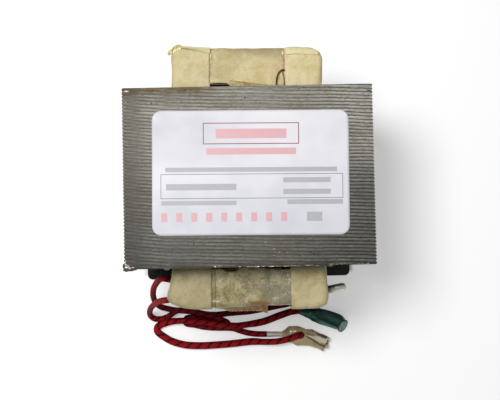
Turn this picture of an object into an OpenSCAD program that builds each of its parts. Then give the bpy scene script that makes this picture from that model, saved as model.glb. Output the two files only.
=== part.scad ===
// Step-up transformer of shell type: a welded E and I core on a base plate,
// a primary and a secondary winding on the centre leg, magnetic shunts between
// them, a short winding of sleeved wire with its leads, and push-on terminals.
// Origin: middle of the base plate's underside. X across the core, Y through
// the stack of laminations, Z up.

/* [Core] */
// Width of the centre leg
centre_leg_w = 34; // [28:0.5:40]
// Width of each outer leg
outer_leg_w = 17; // [14:0.5:21]
// Width of each winding window
window_w = 18; // [16:0.5:22]
// Height of each winding window
window_h = 53; // [49:0.5:60]
// Height of the lower and of the upper yoke
yoke_h = 17; // [14:0.5:21]
// Thickness of the stack of laminations
stack = 75; // [60:1:90]
// Number of visible lamination ridges through the stack
lam_count = 52; // [40:1:60]
// How far a lamination ridge stands out of the groove beside it
rib_h = 0.3; // [0.1:0.05:0.5]
// Share of each lamination pitch that the ridge takes
rib_share = 0.62; // [0.4:0.01:0.8]

/* [Base plate] */
// Thickness of the base plate
plate_t = 1.6; // [1:0.1:3]
// How far the base plate stays behind the core's sides
plate_inset = 0.25; // [0.1:0.05:1]
// How far the base plate reaches past the core's front and back
plate_reach = 10; // [9.5:0.5:16]
// Radius of the base plate's corners
plate_corner_r = 2.5; // [1:0.5:5]
// Diameter of each fixing hole
hole_d = 4.6; // [3:0.1:5]
// Distance of a fixing hole's axis from the plate's front or back edge
hole_edge = 6.7; // [5:0.1:7]
// Distance of a fixing hole's axis from the plate's side edge
hole_side = 9.55; // [7:0.05:14]

/* [Welds] */
// Radius of the weld bead's round face
bead_r = 3.2; // [2.8:0.1:4]
// How far the weld bead stands out of the core's side
bead_h = 1.2; // [0.6:0.1:1.6]
// How far the seam weld stays behind the core's front and back
bead_end = 1.5; // [0:0.5:5]
// Length of each stitch weld between the base plate and the core
stitch_len = 18; // [10:1:24]
// Distance of a stitch weld's middle from the middle of the stack
stitch_y = 20; // [15:1:24]
// Radius of a stitch weld
stitch_r = 1.7; // [1.7:0.1:2.5]

/* [Windings] */
// Height of the primary winding
primary_h = 20; // [16:0.5:24]
// Diameter of the primary winding's wire
primary_wire_d = 2; // [1.5:0.1:2.5]
// Height of each magnetic shunt
shunt_h = 7; // [5:0.5:9]
// Diameter of the sleeved wire of the short winding and of its leads
lead_d = 3.1; // [2.6:0.1:3.3]
// Turns of the short winding
short_turns = 3; // [1:1:4]
// Wall of each winding former
former_t = 0.8; // [0.5:0.1:1.2]
// Thickness of the insulating paper round the windings
paper_t = 0.4; // [0.2:0.05:0.6]
// Running clearance between a former and what it slides over
slide_gap = 0.2; // [0.1:0.05:0.4]
// Clearance between a winding and the yoke or shunt beside it
stack_gap = 0.3; // [0.2:0.05:0.6]
// Room between the wrapped winding and the outer leg
side_room = 1.8; // [1:0.1:2.5]
// How far the windings bulge away from the former at the front and back
end_bulge = 2.3; // [1:0.1:3.5]
// Radius of a winding's inner corners
wind_corner_r = 1.5; // [1:0.1:3]
// Radius of the paper's outer corners round the secondary winding
paper_corner_r = 7; // [4:0.5:12]
// Half width of the gap between the left and the right side papers
paper_split_x = 17.4; // [14:0.1:19]
// Clearance of the paper from the winding under it
paper_gap = 0.05; // [0.02:0.01:0.1]
// Thickness of the varnished film under the end papers
film_t = 0.15; // [0.1:0.01:0.2]

/* [Terminals] */
// Width of a fixed tab terminal
tab_w = 6.3; // [4.8:0.1:6.5]
// Thickness of a fixed tab terminal
tab_t = 0.8; // [0.5:0.1:1]
// Free length of a fixed tab terminal
tab_len = 8; // [7:0.5:9]
// Width of a push-on terminal's body
push_w = 5.8; // [5:0.1:6]
// Height of a push-on terminal's body
push_h = 2.4; // [2:0.1:2.6]
// Length of a push-on terminal's body
push_len = 7.5; // [6:0.5:8]
// Length of a push-on terminal's crimp barrel
barrel_len = 6.5; // [5:0.5:8]
// Outer diameter of a crimp barrel
barrel_d = 2.9; // [2.6:0.1:3.1]
// Thickness of the sheet that the push-on terminals are rolled from
push_t = 0.4; // [0.3:0.05:0.5]

/* [Sleeves] */
// Width of each insulating sleeve, lying flat
sleeve_w = 7.2; // [7:0.1:8]
// Height of each insulating sleeve, lying flat
sleeve_h = 4.4; // [4.2:0.1:5]
// Wall of each insulating sleeve
sleeve_t = 0.45; // [0.3:0.05:0.5]
// Length of the green sleeve
green_len = 21.5; // [20:0.5:26]
// Length of the clear sleeve
clear_len = 22.5; // [21:0.5:26]

/* [Label] */
// Width of the label
label_w = 81.5; // [60:0.5:90]
// Depth of the label
label_d = 51.7; // [30:0.1:58]
// Thickness of the label
label_t = 0.15; // [0.1:0.01:0.3]
// Radius of the label's corners
label_r = 4; // [1:0.5:6]
// Turn of the label on the core, in degrees
label_turn = -1.2; // [-3:0.1:3]

/* [Hidden] */
$fn = 48;
turn_fn = 16;          // $fn of the windings' turns and corners
cut = 1;               // how far a cutting shape reaches past what it cuts

// Core
core_w = centre_leg_w + 2 * window_w + 2 * outer_leg_w;
core_z = plate_t;
window_z = core_z + yoke_h;
joint_z = window_z + window_h;
core_top = joint_z + yoke_h;
lam_pitch = stack / lam_count;
leg_x = centre_leg_w / 2;
outer_leg_x = leg_x + window_w;

// Base plate
plate_w = core_w - 2 * plate_inset;
plate_d = stack + 2 * plate_reach;
hole_x = plate_w / 2 - hole_side;
hole_y = plate_d / 2 - hole_edge;

// Formers and windings, from the leg outwards
former_x = leg_x + slide_gap;
former_y = stack / 2 + slide_gap;
wind_x = former_x + former_t + slide_gap;
wind_y = former_y + former_t + slide_gap + end_bulge;
build = outer_leg_x - side_room - paper_t - paper_gap - wind_x;
wind_out_x = wind_x + build;
wind_out_y = wind_y + build;
paper_x = wind_out_x + paper_gap;
paper_y = wind_out_y + paper_gap;

// Windings, from the lower yoke upwards
primary_z = window_z + stack_gap + paper_t;
primary_top = primary_z + primary_h;
shunt_z = primary_top + paper_t + stack_gap;
short_z = shunt_z + shunt_h + stack_gap;
secondary_z = short_z + lead_d + stack_gap + paper_t;
secondary_top = joint_z - stack_gap - paper_t;
secondary_h = secondary_top - secondary_z;
end_paper_z = secondary_top + film_t + 2 * paper_gap;
shunt_gap = 0.3;       // between a shunt and the legs beside it
shunt_back = 1;        // how far a shunt stays behind the core's faces

// End papers and films
front_paper_in = 40;   // inner edge of the front end paper, from the middle
back_paper_in = 42.4;  // inner edge of the back end paper, from the middle
front_film = [-11.5, 7.5];     // left and right edge of the front film
back_film = [-7.5, 8];         // left and right edge of the back film
film_step = 3;         // inner edge of the front film, from the winding's inner face
film_lap = 0.6;        // how far the back film laps over the former
film_depth = 7.3;      // depth of the back film
film_hang = 2.4;       // height of the film's torn piece above its folded edge
tear_left = 5;         // width of the torn piece's low left shoulder
tear_right = 3;        // width of its right tip
tear_drop = [1.5, 2, 1];       // how far its lower corners hang down
tear_rise = [0.4, 1];          // how far its upper left corners stay down
primary_band_w = 30;   // width of the primary winding's end papers
primary_paper_end = 3; // how far the primary papers reach past the core

// Tab board and tabs
board_w = 38;
board_h = 14;
board_t = 1.6;
tab_x = 11;            // distance of a primary tab from the middle
tab_lean = 20;         // lean of the high-voltage tab, in degrees
tab_swing = 10.5;      // turn of the high-voltage tab, in degrees
hv_reach = 1.7;        // how much longer the high-voltage tab is than the others
hv_tab_y = -50.3;      // place of the high-voltage tab along Y
hv_tab_up = 9;         // height of its axis above the secondary's underside
slot_gap = 0.15;       // clearance round a tab in its slot
tab_hole_d = 1.8;
tab_foot = 3;          // height of the foot that a primary tab has on its board
hv_foot = [3, 5.15];   // width and height of the foot behind the high-voltage tab
foot_t = 0.5;          // thickness of each foot
foot_gap = 0.05;       // between a foot and the board that it lies on

// Middle of the label on the core
label_at = [0.8, 1.4];

// Ground lug and ground wire
lug_in = 4;            // from the centre leg's side to the lug's middle
lug_x = leg_x - lug_in;
lug_w = 5;
lug_t = 0.6;
lug_h = 9;
lug_rise = 0.6;        // height of the lug's lower edge above the core's joint
ground_wire_d = 0.5;

// Push-on terminals
neck_len = 1;
neck_w = 2.9;
neck_h = 0.8;
crimp_slit = 0.5;      // width of the slit along a crimp barrel
roll_slit = 0.6;       // height of the slits that take the tab
rod_d = 1.74;          // diameter of the conductor in the clear sleeve
terminal_len = barrel_len + neck_len + push_len;

// Places of the terminals and sleeves on the ground: point and turn
green_at = [28, -65.4];
green_turn = -22;
green_lead_in = 5.5;   // how deep the lead reaches into the green sleeve
clear_at = [17, -76.8];
clear_turn = -12.5;
clear_out = 8.5;       // how far the splice barrel sticks out of the clear sleeve
splice_turn = -1.5;    // turn of the splice barrel outside the clear sleeve
clear_mouth = 1.2;     // how far the terminal sticks out of the clear sleeve
link_at = [26.5, -58.2];
link_turn = 27;
push_z = sleeve_h / 2; // height of a sleeved terminal's axis above the ground
link_z = lead_d / 2;   // height of the bare terminal's axis above the ground
hole_gap = 0.3;        // clearance of the link lead in the clear sleeve's hole

// Routes of the free leads, each a list of [x, y, lift], where the lift is the
// height of the lead's underside above the ground
lead_front_route = [
    [-9, -46.5, 43.8], [-20, -46, 43.8], [-29, -45.4, 43.8], [-36, -45, 43.4],
    [-41.2, -44.6, 41], [-45.6, -48.8, 28], [-47.6, -55, 13],
    [-46.4, -59.9, 3.6], [-42.9, -61.8, 2.6], [-39.2, -62.8, 3.3],
    [-34, -63.1, 3.3], [-28.8, -63.6, 3.3], [-25.8, -64.5, 3.3],
    [-22.8, -65.7, 3.3], [-19.7, -66.9, 3.3], [-17, -68.2, 2.5],
    [-14.3, -69.7, 0.8], [-11.5, -71.3, 0], [-8.2, -73, 0],
    [-4.4, -74.6, 0], [-0.8, -75.8, 0], [3.4, -76.4, 0.1], [8.4, -76.5, 0.65]];
lead_side_route = [
    [-9, -51.9, 47.3], [-20, -51.9, 47.3], [-30, -53, 46.7],
    [-37.5, -54.2, 46], [-42.5, -55, 42.6], [-46.8, -58.2, 28.5],
    [-49.9, -62.4, 13.5], [-50.2, -65.8, 3], [-47.7, -67.3, 0],
    [-44.2, -66.7, 0], [-41, -65.2, 0], [-38.2, -63.8, 0],
    [-35.1, -63.2, 0], [-31.8, -63.5, 0], [-28.8, -64.8, 0],
    [-26, -66.3, 0], [-22.9, -66.9, 0], [-19.8, -66.4, 0],
    [-16.2, -65.8, 0], [-11.6, -65.5, 0], [-6, -65.1, 0],
    [0, -64.8, 0], [7, -63.8, 0], [14, -62.5, 0],
    [20.6, -61.2, 0], [26.3, -58.3, 0]];
link_route = [
    [26.6, -77.2, 3], [24.4, -77.2, 4.4], [20.2, -78.6, 4.7], [14.2, -79.8, 4.1],
    [8, -80.3, 1.6], [0.5, -80.2, 0], [-8.9, -81, 0],
    [-17.5, -81.5, 0], [-25.5, -81.7, 0], [-33.3, -81.1, 0],
    [-39.8, -79.2, 0], [-44.4, -76.5, 0], [-46.8, -73.8, 0],
    [-45.9, -71.2, 0], [-42, -69.9, 0], [-37.4, -69.2, 0],
    [-33.7, -69.3, 0], [-30.4, -69.7, 0], [-27.1, -70.2, 0],
    [-23.7, -70.8, 0.7], [-20.4, -71.3, 1.9], [-17.3, -71.6, 3.2],
    [-14.2, -71.8, 3.5], [-10.7, -71.9, 3.4], [-7.1, -71.8, 3.3],
    [-3.8, -71.7, 2.5], [-0.5, -71.4, 1.1], [3.1, -71, 0.1],
    [8.2, -69.8, 0], [15, -67.4, 0],
    [21.5, -65.4, 0.4], [27.5, -65.2, 0.65], [33, -67.4, 0.65]];
// Course of the ground wire, from the lug's face at the winding's top
ground_route = [
    [0, 0.3, 4], [0, 0.6, 1.6], [0, 2.2, 0.8], [0.4, 5, 0.75],
    [1.2, 8, 0.75], [2.4, 9.4, 0.75], [3.6, 9, 0.75]];

// Vector helpers for the swept tubes
function unit(v) = v / norm(v);
// A route at its real height, with the lead's underside at the given lift
function laid(route) = [for (p = route) [p[0], p[1], p[2] + lead_d / 2]];
function along(p, i) = unit(p[min(i + 1, len(p) - 1)] - p[max(i - 1, 0)]);
// A direction square to t, kept close to the direction before it
function square_to(t, near) = unit(near - (near * t) * t);
// Side directions carried along the route from ring to ring
function sides(p, i = 0, near = [0, 0, 1]) =
    i == len(p) ? [] :
    let (t = along(p, i), n = square_to(t, abs(t * near) > 0.99 ? [1, 0, 0] : near))
    concat([n], sides(p, i + 1, n));
function ring(c, t, n, r, k) =
    let (b = cross(t, n))
    [for (j = [0 : k - 1]) c + r * (cos(360 * j / k) * n + sin(360 * j / k) * b)];

// Tube swept along route p, with k sides that lie flat around diameter d
module swept_tube(p, d, k) {
    n = sides(p);
    pts = [for (i = [0 : len(p) - 1]) each ring(p[i], along(p, i), n[i], d / 2, k)];
    last = (len(p) - 1) * k;
    walls = [for (i = [0 : len(p) - 2], j = [0 : k - 1])
        each [[i * k + j, i * k + (j + 1) % k, (i + 1) * k + (j + 1) % k],
              [i * k + j, (i + 1) * k + (j + 1) % k, (i + 1) * k + j]]];
    ends = [[for (j = [k - 1 : -1 : 0]) j], [for (j = [0 : k - 1]) last + j]];
    polyhedron(points = pts, faces = concat(walls, ends));
}

// Rectangle with round corners, centred
module round_rect(w, d, r) {
    square([w - 2 * r, d], center = true);
    square([w, d - 2 * r], center = true);
    for (sx = [-1, 1], sy = [-1, 1])
        translate([sx * (w / 2 - r), sy * (d / 2 - r)]) circle(r = r);
}

// Closed band round the centre leg, from its inner half sizes and its wall
module band(hx, hy, r, wall, h) {
    linear_extrude(h) difference() {
        round_rect(2 * (hx + wall), 2 * (hy + wall), r + wall);
        round_rect(2 * hx, 2 * hy, r);
    }
}

// Winding of round wire: its section swept round the leg, four straight runs
// and four round corners
module wound(hx, hy, r, z) {
    $fn = turn_fn;
    run_x = hx - r;
    run_y = hy - r;
    translate([0, 0, z]) {
        for (s = [0, 180]) rotate(s) {
            translate([run_x + r, run_y, 0]) rotate([90, 0, 0])
                linear_extrude(2 * run_y) children();
            translate([-run_x, run_y + r, 0]) rotate([90, 0, 90])
                linear_extrude(2 * run_x) children();
            translate([run_x, run_y, 0]) rotate_extrude(angle = 90)
                translate([r, 0]) children();
            translate([-run_x, run_y, 0]) rotate(90) rotate_extrude(angle = 90)
                translate([r, 0]) children();
        }
    }
}

// Section of the primary winding: a solid pack with its outer turns showing
module primary_section() {
    turns = floor(primary_h / primary_wire_d);
    pitch = primary_h / turns;
    square([build - pitch / 2, primary_h]);
    for (i = [0 : turns - 1])
        translate([build - pitch / 2, (i + 0.5) * pitch]) circle(d = pitch);
}

// Fixed tab terminal with tapered tip and a hole, lying in the XY plane
module tab_blade(len) {
    tip = tab_w / 5;
    difference() {
        linear_extrude(tab_t) polygon([
            [0, -tab_w / 2], [len - tip, -tab_w / 2], [len, -tab_w / 2 + tip],
            [len, tab_w / 2 - tip], [len - tip, tab_w / 2], [0, tab_w / 2]]);
        translate([len - tab_len / 2, 0, -cut]) cylinder(d = tab_hole_d, h = tab_t + 2 * cut);
    }
}

// Rolled body of a push-on terminal from its barrel end, along +X, axis at z 0
module push_terminal() {
    roll_r = push_h / 2;
    body_x = barrel_len + neck_len;
    difference() {
        rotate([0, 90, 0]) cylinder(d = barrel_d, h = barrel_len);
        translate([-cut, -crimp_slit / 2, 0]) cube([barrel_len + cut, crimp_slit, barrel_d]);
    }
    translate([barrel_len, -neck_w / 2, -roll_r]) cube([neck_len, neck_w, neck_h]);
    translate([body_x, 0, 0]) rotate([90, 0, 90]) linear_extrude(push_len) {
        translate([0, -roll_r + push_t / 2]) square([push_w - 2 * roll_r, push_t], center = true);
        for (s = [-1, 1]) translate([s * (push_w / 2 - roll_r), 0]) difference() {
            circle(r = roll_r);
            circle(r = roll_r - push_t);
            translate([-s * roll_r, 0]) square([2 * roll_r, roll_slit], center = true);
        }
    }
}

// Flattened tube that lies along +X with its underside at z 0
module flat_tube(len) {
    module oval(w, h) {
        square([w - h, h], center = true);
        for (s = [-1, 1]) translate([s * (w - h) / 2, 0]) circle(d = h);
    }
    translate([0, 0, sleeve_h / 2]) rotate([90, 0, 90]) linear_extrude(len) difference() {
        oval(sleeve_w, sleeve_h);
        oval(sleeve_w - 2 * sleeve_t, sleeve_h - 2 * sleeve_t);
    }
}

// Everything that lies on the ground at a point, turned about Z
module lay(at, turn, z = 0) {
    translate([at[0], at[1], z]) rotate(turn) children();
}

module base_plate() {
    color([0.10, 0.09, 0.08]) difference() {
        linear_extrude(plate_t) round_rect(plate_w, plate_d, plate_corner_r);
        for (sx = [-1, 1], sy = [-1, 1])
            translate([sx * hole_x, sy * hole_y, -cut]) cylinder(d = hole_d, h = plate_t + 2 * cut);
    }
}

// Two stitch welds in the corner between the core's side and the plate's edge
module base_weld(side) {
    color([0.28, 0.27, 0.26]) difference() {
        for (sy = [-1, 1])
            translate([side * (core_w / 2 - stitch_r / 3), sy * stitch_y + stitch_len / 2, stitch_r])
                rotate([90, 0, 0]) cylinder(r = stitch_r, h = stitch_len);
        translate([-core_w / 2, -stack / 2, core_z]) cube([core_w, stack, yoke_h]);
        translate([-plate_w / 2, -plate_d / 2, -cut]) cube([plate_w, plate_d, plate_t + cut]);
    }
}

// Block of laminations from low to high: one full plate per pitch, and between
// the plates the grooves, which stop at groove_low and groove_high
module laminations(low, high, groove_low, groove_high) {
    translate([-core_w / 2 + rib_h, -stack / 2, groove_low])
        cube([core_w - 2 * rib_h, stack, groove_high - groove_low]);
    for (i = [0 : lam_count - 1])
        translate([-core_w / 2, -stack / 2 + (i + (1 - rib_share) / 2) * lam_pitch, low])
            cube([core_w, lam_pitch * rib_share, high - low]);
}

module core_e() {
    color([0.42, 0.41, 0.38]) difference() {
        laminations(core_z, joint_z, core_z + rib_h, joint_z);
        for (x = [-outer_leg_x, leg_x]) translate([x, -stack / 2 - cut, window_z])
            cube([window_w, stack + 2 * cut, window_h + cut]);
    }
}

module core_i() {
    color([0.52, 0.51, 0.48]) laminations(joint_z, core_top, joint_z, core_top - rib_h);
}

// Bead along the joint of the E and the I stack, a flat-backed round bar
module seam_weld(side) {
    len = stack - 2 * bead_end;
    color([0.35, 0.34, 0.32]) intersection() {
        translate([side * (core_w / 2 - bead_r + bead_h), len / 2, joint_z])
            rotate([90, 0, 0]) cylinder(r = bead_r, h = len);
        translate([side > 0 ? core_w / 2 : -core_w / 2 - bead_r, -stack / 2, joint_z - bead_r])
            cube([bead_r, stack, 2 * bead_r]);
    }
}

module shunt(side) {
    w = window_w - 2 * shunt_gap;
    d = stack - 2 * shunt_back;
    color([0.36, 0.35, 0.33])
        translate([side * (leg_x + window_w / 2) - w / 2, -d / 2, shunt_z]) cube([w, d, shunt_h]);
}

module primary_former() {
    color([0.80, 0.74, 0.58]) translate([0, 0, primary_z - paper_t])
        band(former_x, former_y, former_t / 2, former_t, primary_h + 2 * paper_t);
}

module secondary_former() {
    color([0.80, 0.74, 0.58]) translate([0, 0, short_z])
        band(former_x, former_y, former_t / 2, former_t, joint_z - stack_gap - short_z);
}

module primary_coil() {
    color([0.55, 0.27, 0.12]) wound(wind_x, wind_y, wind_corner_r, primary_z) primary_section();
}

// Turns of sleeved wire side by side on the shunts
module short_winding() {
    color([0.55, 0.07, 0.09]) wound(wind_x, wind_y, wind_corner_r, short_z)
        for (i = [0 : short_turns - 1])
            translate([(i + 0.5) * lead_d, lead_d / 2]) circle(d = lead_d);
}

// Secondary winding: a pack of fine wire with its outer edges eased
module secondary_coil() {
    ease = 0.8;
    color([0.50, 0.30, 0.16]) wound(wind_x, wind_y, wind_corner_r, secondary_z)
        polygon([[0, 0], [build - ease, 0], [build, ease], [build, secondary_h - ease],
                 [build - ease, secondary_h], [0, secondary_h]]);
}

// Paper channel over the bottom, side and top of the primary, in the window
module primary_paper(side) {
    half_y = stack / 2 + primary_paper_end;
    out_x = paper_x + paper_t;
    color([0.82, 0.76, 0.58]) difference() {
        translate([side > 0 ? wind_x : -out_x, -half_y, primary_z - paper_t])
            cube([out_x - wind_x, 2 * half_y, primary_h + 2 * paper_t]);
        translate([side > 0 ? wind_x - cut : -paper_x, -half_y - cut, primary_z - paper_gap])
            cube([paper_x - wind_x + cut, 2 * half_y + 2 * cut, primary_h + 2 * paper_gap]);
    }
}

// Outline of the secondary's side papers, from above, taken in by an offset
module paper_outline(in) {
    round_rect(2 * (paper_x + paper_t - in), 2 * (paper_y + paper_t - in), paper_corner_r - in);
}

// Paper over the top and the outer side of the secondary, right round both ends
module secondary_paper(side) {
    wall_h = secondary_top - secondary_z + paper_gap;
    module half(x) {
        translate([side > 0 ? x : -x - core_w, -core_w]) square([core_w, 2 * core_w]);
    }
    color([0.84, 0.78, 0.61]) difference() {
        translate([0, 0, secondary_z]) linear_extrude(wall_h + paper_t) intersection() {
            paper_outline(0);
            half(paper_split_x);
        }
        translate([0, 0, secondary_z - cut]) linear_extrude(wall_h + cut)
            paper_outline(paper_t);
        translate([0, 0, secondary_z - cut]) linear_extrude(secondary_h + 3 * cut)
            square([2 * wind_x, 2 * (former_y + former_t + slide_gap)], center = true);
        if (side > 0) hv_slot();
    }
}

// Paper over the top and the outer face of one end of the secondary
module secondary_end_paper(side, inner_y) {
    half_x = paper_split_x - slide_gap;
    out_y = paper_y + paper_t;
    color([0.80, 0.74, 0.55]) difference() {
        translate([-half_x, side > 0 ? inner_y : -out_y, secondary_z])
            cube([2 * half_x, out_y - inner_y, end_paper_z + paper_t - secondary_z]);
        translate([-half_x - cut, side > 0 ? inner_y - cut : -paper_y, secondary_z - cut])
            cube([2 * half_x + 2 * cut, paper_y - inner_y + cut, end_paper_z - secondary_z + cut]);
    }
}

// Paper band over one end of the primary
module primary_end_paper(side) {
    out_y = paper_y + paper_t;
    inner_y = wind_y;
    top_z = primary_top + paper_gap;
    color([0.78, 0.71, 0.52]) difference() {
        translate([-primary_band_w / 2, side > 0 ? inner_y : -out_y, primary_z - paper_t])
            cube([primary_band_w, out_y - inner_y, primary_h + 2 * paper_t]);
        translate([-primary_band_w / 2 - cut, side > 0 ? inner_y - cut : -paper_y,
                   primary_z - paper_gap])
            cube([primary_band_w + 2 * cut, paper_y - inner_y + cut, top_z - primary_z + paper_gap]);
    }
}

// Varnished film on top of the winding, with a torn edge past the front paper
module film_front() {
    y_in = -(wind_y + film_step);
    left = front_film[0];
    right = front_film[1];
    color([0.66, 0.45, 0.16]) {
        translate([left, -wind_out_y, secondary_top + paper_gap])
            cube([right - left, wind_out_y + y_in, film_t]);
        translate([0, -(paper_y + paper_t), end_paper_z - film_hang]) rotate([90, 0, 0])
            linear_extrude(film_t) polygon([
                [left, -tear_drop[0]], [right - tear_right, -tear_drop[1]],
                [right, -tear_drop[2]], [right, film_hang],
                [left + tear_left, film_hang - tear_rise[0]],
                [left, film_hang - tear_rise[1]]]);
    }
}

module film_back() {
    color([0.70, 0.50, 0.20])
        translate([back_film[0], wind_y - film_lap, secondary_top + paper_gap])
            cube([back_film[1] - back_film[0], film_depth, film_t]);
}

// Insulating board on the back of the primary that holds its two tabs
module tab_board() {
    y = paper_y + paper_t + paper_gap;
    color([0.75, 0.68, 0.50]) difference() {
        translate([-board_w / 2, y, primary_z + (primary_h - board_h) / 2])
            cube([board_w, board_t, board_h]);
        for (s = [-1, 1]) translate([s * tab_x - tab_w / 2 - slot_gap, y - cut,
                                     primary_z + primary_h / 2 - tab_t / 2 - slot_gap])
            cube([tab_w + 2 * slot_gap, board_t + 2 * cut, tab_t + 2 * slot_gap]);
    }
}

// Tab through the board, with its bent foot on the board's face
module primary_tab(side) {
    face_y = paper_y + paper_t + paper_gap + board_t;
    mid_z = primary_z + primary_h / 2;
    color([0.75, 0.74, 0.70]) {
        translate([side * tab_x, face_y - board_t + slot_gap, mid_z - tab_t / 2]) rotate(90)
            tab_blade(tab_len + board_t - slot_gap);
        translate([side * tab_x - tab_w / 2, face_y + foot_gap, mid_z + tab_t / 2])
            cube([tab_w, foot_t, tab_foot]);
    }
}

// The high-voltage tab leans and points slightly back, out of the right paper
module place_hv_tab() {
    translate([paper_x - tab_t - paper_gap, hv_tab_y, secondary_z + hv_tab_up])
        rotate(tab_swing) rotate([90 + tab_lean, 0, 0]) children();
}

module hv_slot() {
    place_hv_tab() translate([0, -tab_w / 2 - slot_gap, -tab_t / 2 - slot_gap])
        cube([tab_len, tab_w + 2 * slot_gap, tab_t + 2 * slot_gap]);
}

module hv_tab() {
    color([0.78, 0.77, 0.74]) {
        place_hv_tab() translate([0, 0, -tab_t / 2]) tab_blade(tab_len + hv_reach + tab_t);
        translate([paper_x - tab_t - paper_gap, hv_tab_y, secondary_z + hv_tab_up - hv_foot[1]])
            cube([foot_t, hv_foot[0], hv_foot[1]]);
    }
}

// Small lug on the core's back face, above the secondary's inner end
module ground_lug() {
    color([0.72, 0.70, 0.66])
        translate([lug_x - lug_w / 2, stack / 2, joint_z + lug_rise]) difference() {
            cube([lug_w, lug_t, lug_h]);
            translate([lug_w / 2, -cut, lug_h - lug_w / 2]) rotate([-90, 0, 0])
                cylinder(d = tab_hole_d, h = lug_t + 2 * cut);
        }
}

// Enamelled wire from the lug over the back paper, in a small bow
module ground_wire() {
    start = [lug_x, stack / 2 + lug_t, secondary_top + paper_t];
    color([0.35, 0.12, 0.08])
        swept_tube([for (p = ground_route) p + start], ground_wire_d, 6);
}

module label() {
    color([0.93, 0.93, 0.95]) translate([label_at[0], label_at[1], core_top]) rotate(label_turn)
        linear_extrude(label_t) round_rect(label_w, label_d, label_r);
}

module lead_front() {
    color([0.62, 0.08, 0.10]) swept_tube(laid(lead_front_route), lead_d, 8);
}

module lead_side() {
    color([0.62, 0.08, 0.10]) swept_tube(laid(lead_side_route), lead_d, 8);
}

module link_lead() {
    color([0.66, 0.09, 0.11]) swept_tube(laid(link_route), lead_d, 8);
}

module sleeve_green() {
    color([0.05, 0.35, 0.30, 0.7]) lay(green_at, green_turn) flat_tube(green_len);
}

module terminal_green() {
    color([0.75, 0.75, 0.73]) lay(green_at, green_turn, push_z)
        translate([green_lead_in, 0, 0]) push_terminal();
}

// The clear sleeve has a slanting hole in its top, in line with the link lead
module sleeve_clear() {
    route = laid(link_route);
    dir = unit(route[0] - route[1]);
    color([0.68, 0.60, 0.45, 0.7]) difference() {
        lay(clear_at, clear_turn) flat_tube(clear_len);
        translate(route[0] + hole_gap * dir) rotate([0, acos(dir[2]), atan2(dir[1], dir[0])])
            mirror([0, 0, 1]) cylinder(d = lead_d + 2 * hole_gap, h = 2 * sleeve_h);
    }
}

// Terminal of the clear sleeve: splice barrel outside, conductor, push-on body
module terminal_clear() {
    rod_len = clear_len + clear_mouth - terminal_len;
    color([0.78, 0.78, 0.76]) {
        lay(clear_at, splice_turn, push_z) rotate([0, -90, 0]) cylinder(d = barrel_d, h = clear_out);
        lay(clear_at, clear_turn, push_z) {
            rotate([0, 90, 0]) cylinder(d = rod_d, h = rod_len);
            translate([rod_len, 0, 0]) push_terminal();
        }
    }
}

module terminal_link() {
    color([0.75, 0.75, 0.73]) lay(link_at, link_turn, link_z) push_terminal();
}

base_plate();
base_weld(-1);  // base_weld_left
base_weld(1);  // base_weld_right
core_e();
core_i();
seam_weld(-1);  // seam_weld_left
seam_weld(1);  // seam_weld_right
shunt(-1);  // shunt_left
shunt(1);  // shunt_right
primary_former();
secondary_former();
primary_coil();
short_winding();
secondary_coil();
primary_paper(-1);  // primary_paper_left
primary_paper(1);  // primary_paper_right
secondary_paper(-1);  // secondary_paper_left
secondary_paper(1);  // secondary_paper_right
primary_end_paper(-1);  // primary_end_paper_front
primary_end_paper(1);  // primary_end_paper_back
secondary_end_paper(-1, front_paper_in);  // secondary_end_paper_front
secondary_end_paper(1, back_paper_in);  // secondary_end_paper_back
film_front();
film_back();
tab_board();
primary_tab(-1);  // primary_tab_left
primary_tab(1);  // primary_tab_right
hv_tab();
ground_lug();
ground_wire();
label();
lead_front();
lead_side();
link_lead();
sleeve_green();
terminal_green();
sleeve_clear();
terminal_clear();
terminal_link();
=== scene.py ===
"""Step-up transformer: welded lamination core, papered windings, braided leads."""
import math
import random

import bmesh
import bpy
from mathutils import Matrix, Vector, noise


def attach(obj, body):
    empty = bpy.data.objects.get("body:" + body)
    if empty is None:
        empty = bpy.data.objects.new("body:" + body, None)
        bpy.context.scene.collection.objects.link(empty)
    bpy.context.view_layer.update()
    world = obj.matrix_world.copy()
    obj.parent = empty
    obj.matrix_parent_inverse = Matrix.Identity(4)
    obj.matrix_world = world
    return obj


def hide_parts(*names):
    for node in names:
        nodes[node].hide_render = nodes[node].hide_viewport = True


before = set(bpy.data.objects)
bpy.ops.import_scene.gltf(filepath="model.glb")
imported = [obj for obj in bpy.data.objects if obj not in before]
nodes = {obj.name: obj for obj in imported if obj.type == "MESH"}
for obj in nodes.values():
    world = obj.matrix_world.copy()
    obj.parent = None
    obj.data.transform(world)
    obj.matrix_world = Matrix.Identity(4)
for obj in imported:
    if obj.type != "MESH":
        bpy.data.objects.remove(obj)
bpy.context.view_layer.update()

MM = 0.001
rng = random.Random(7)


def placed(name, data):
    """A new object in the scene, at the origin."""
    obj = bpy.data.objects.new(name, data)
    bpy.context.scene.collection.objects.link(obj)
    return obj


# Camera
camera = placed("camera", bpy.data.cameras.new("camera"))
camera.location = Vector((-4.35, -18.61, 438.6)) * MM
camera.rotation_euler = [math.radians(a) for a in (2.444, -0.72, -1.21)]
camera.data.lens = 61.1
camera.data.sensor_width = 36
camera.data.shift_y = -0.03
camera.data.clip_start = 0.01
bpy.context.scene.camera = camera

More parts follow.
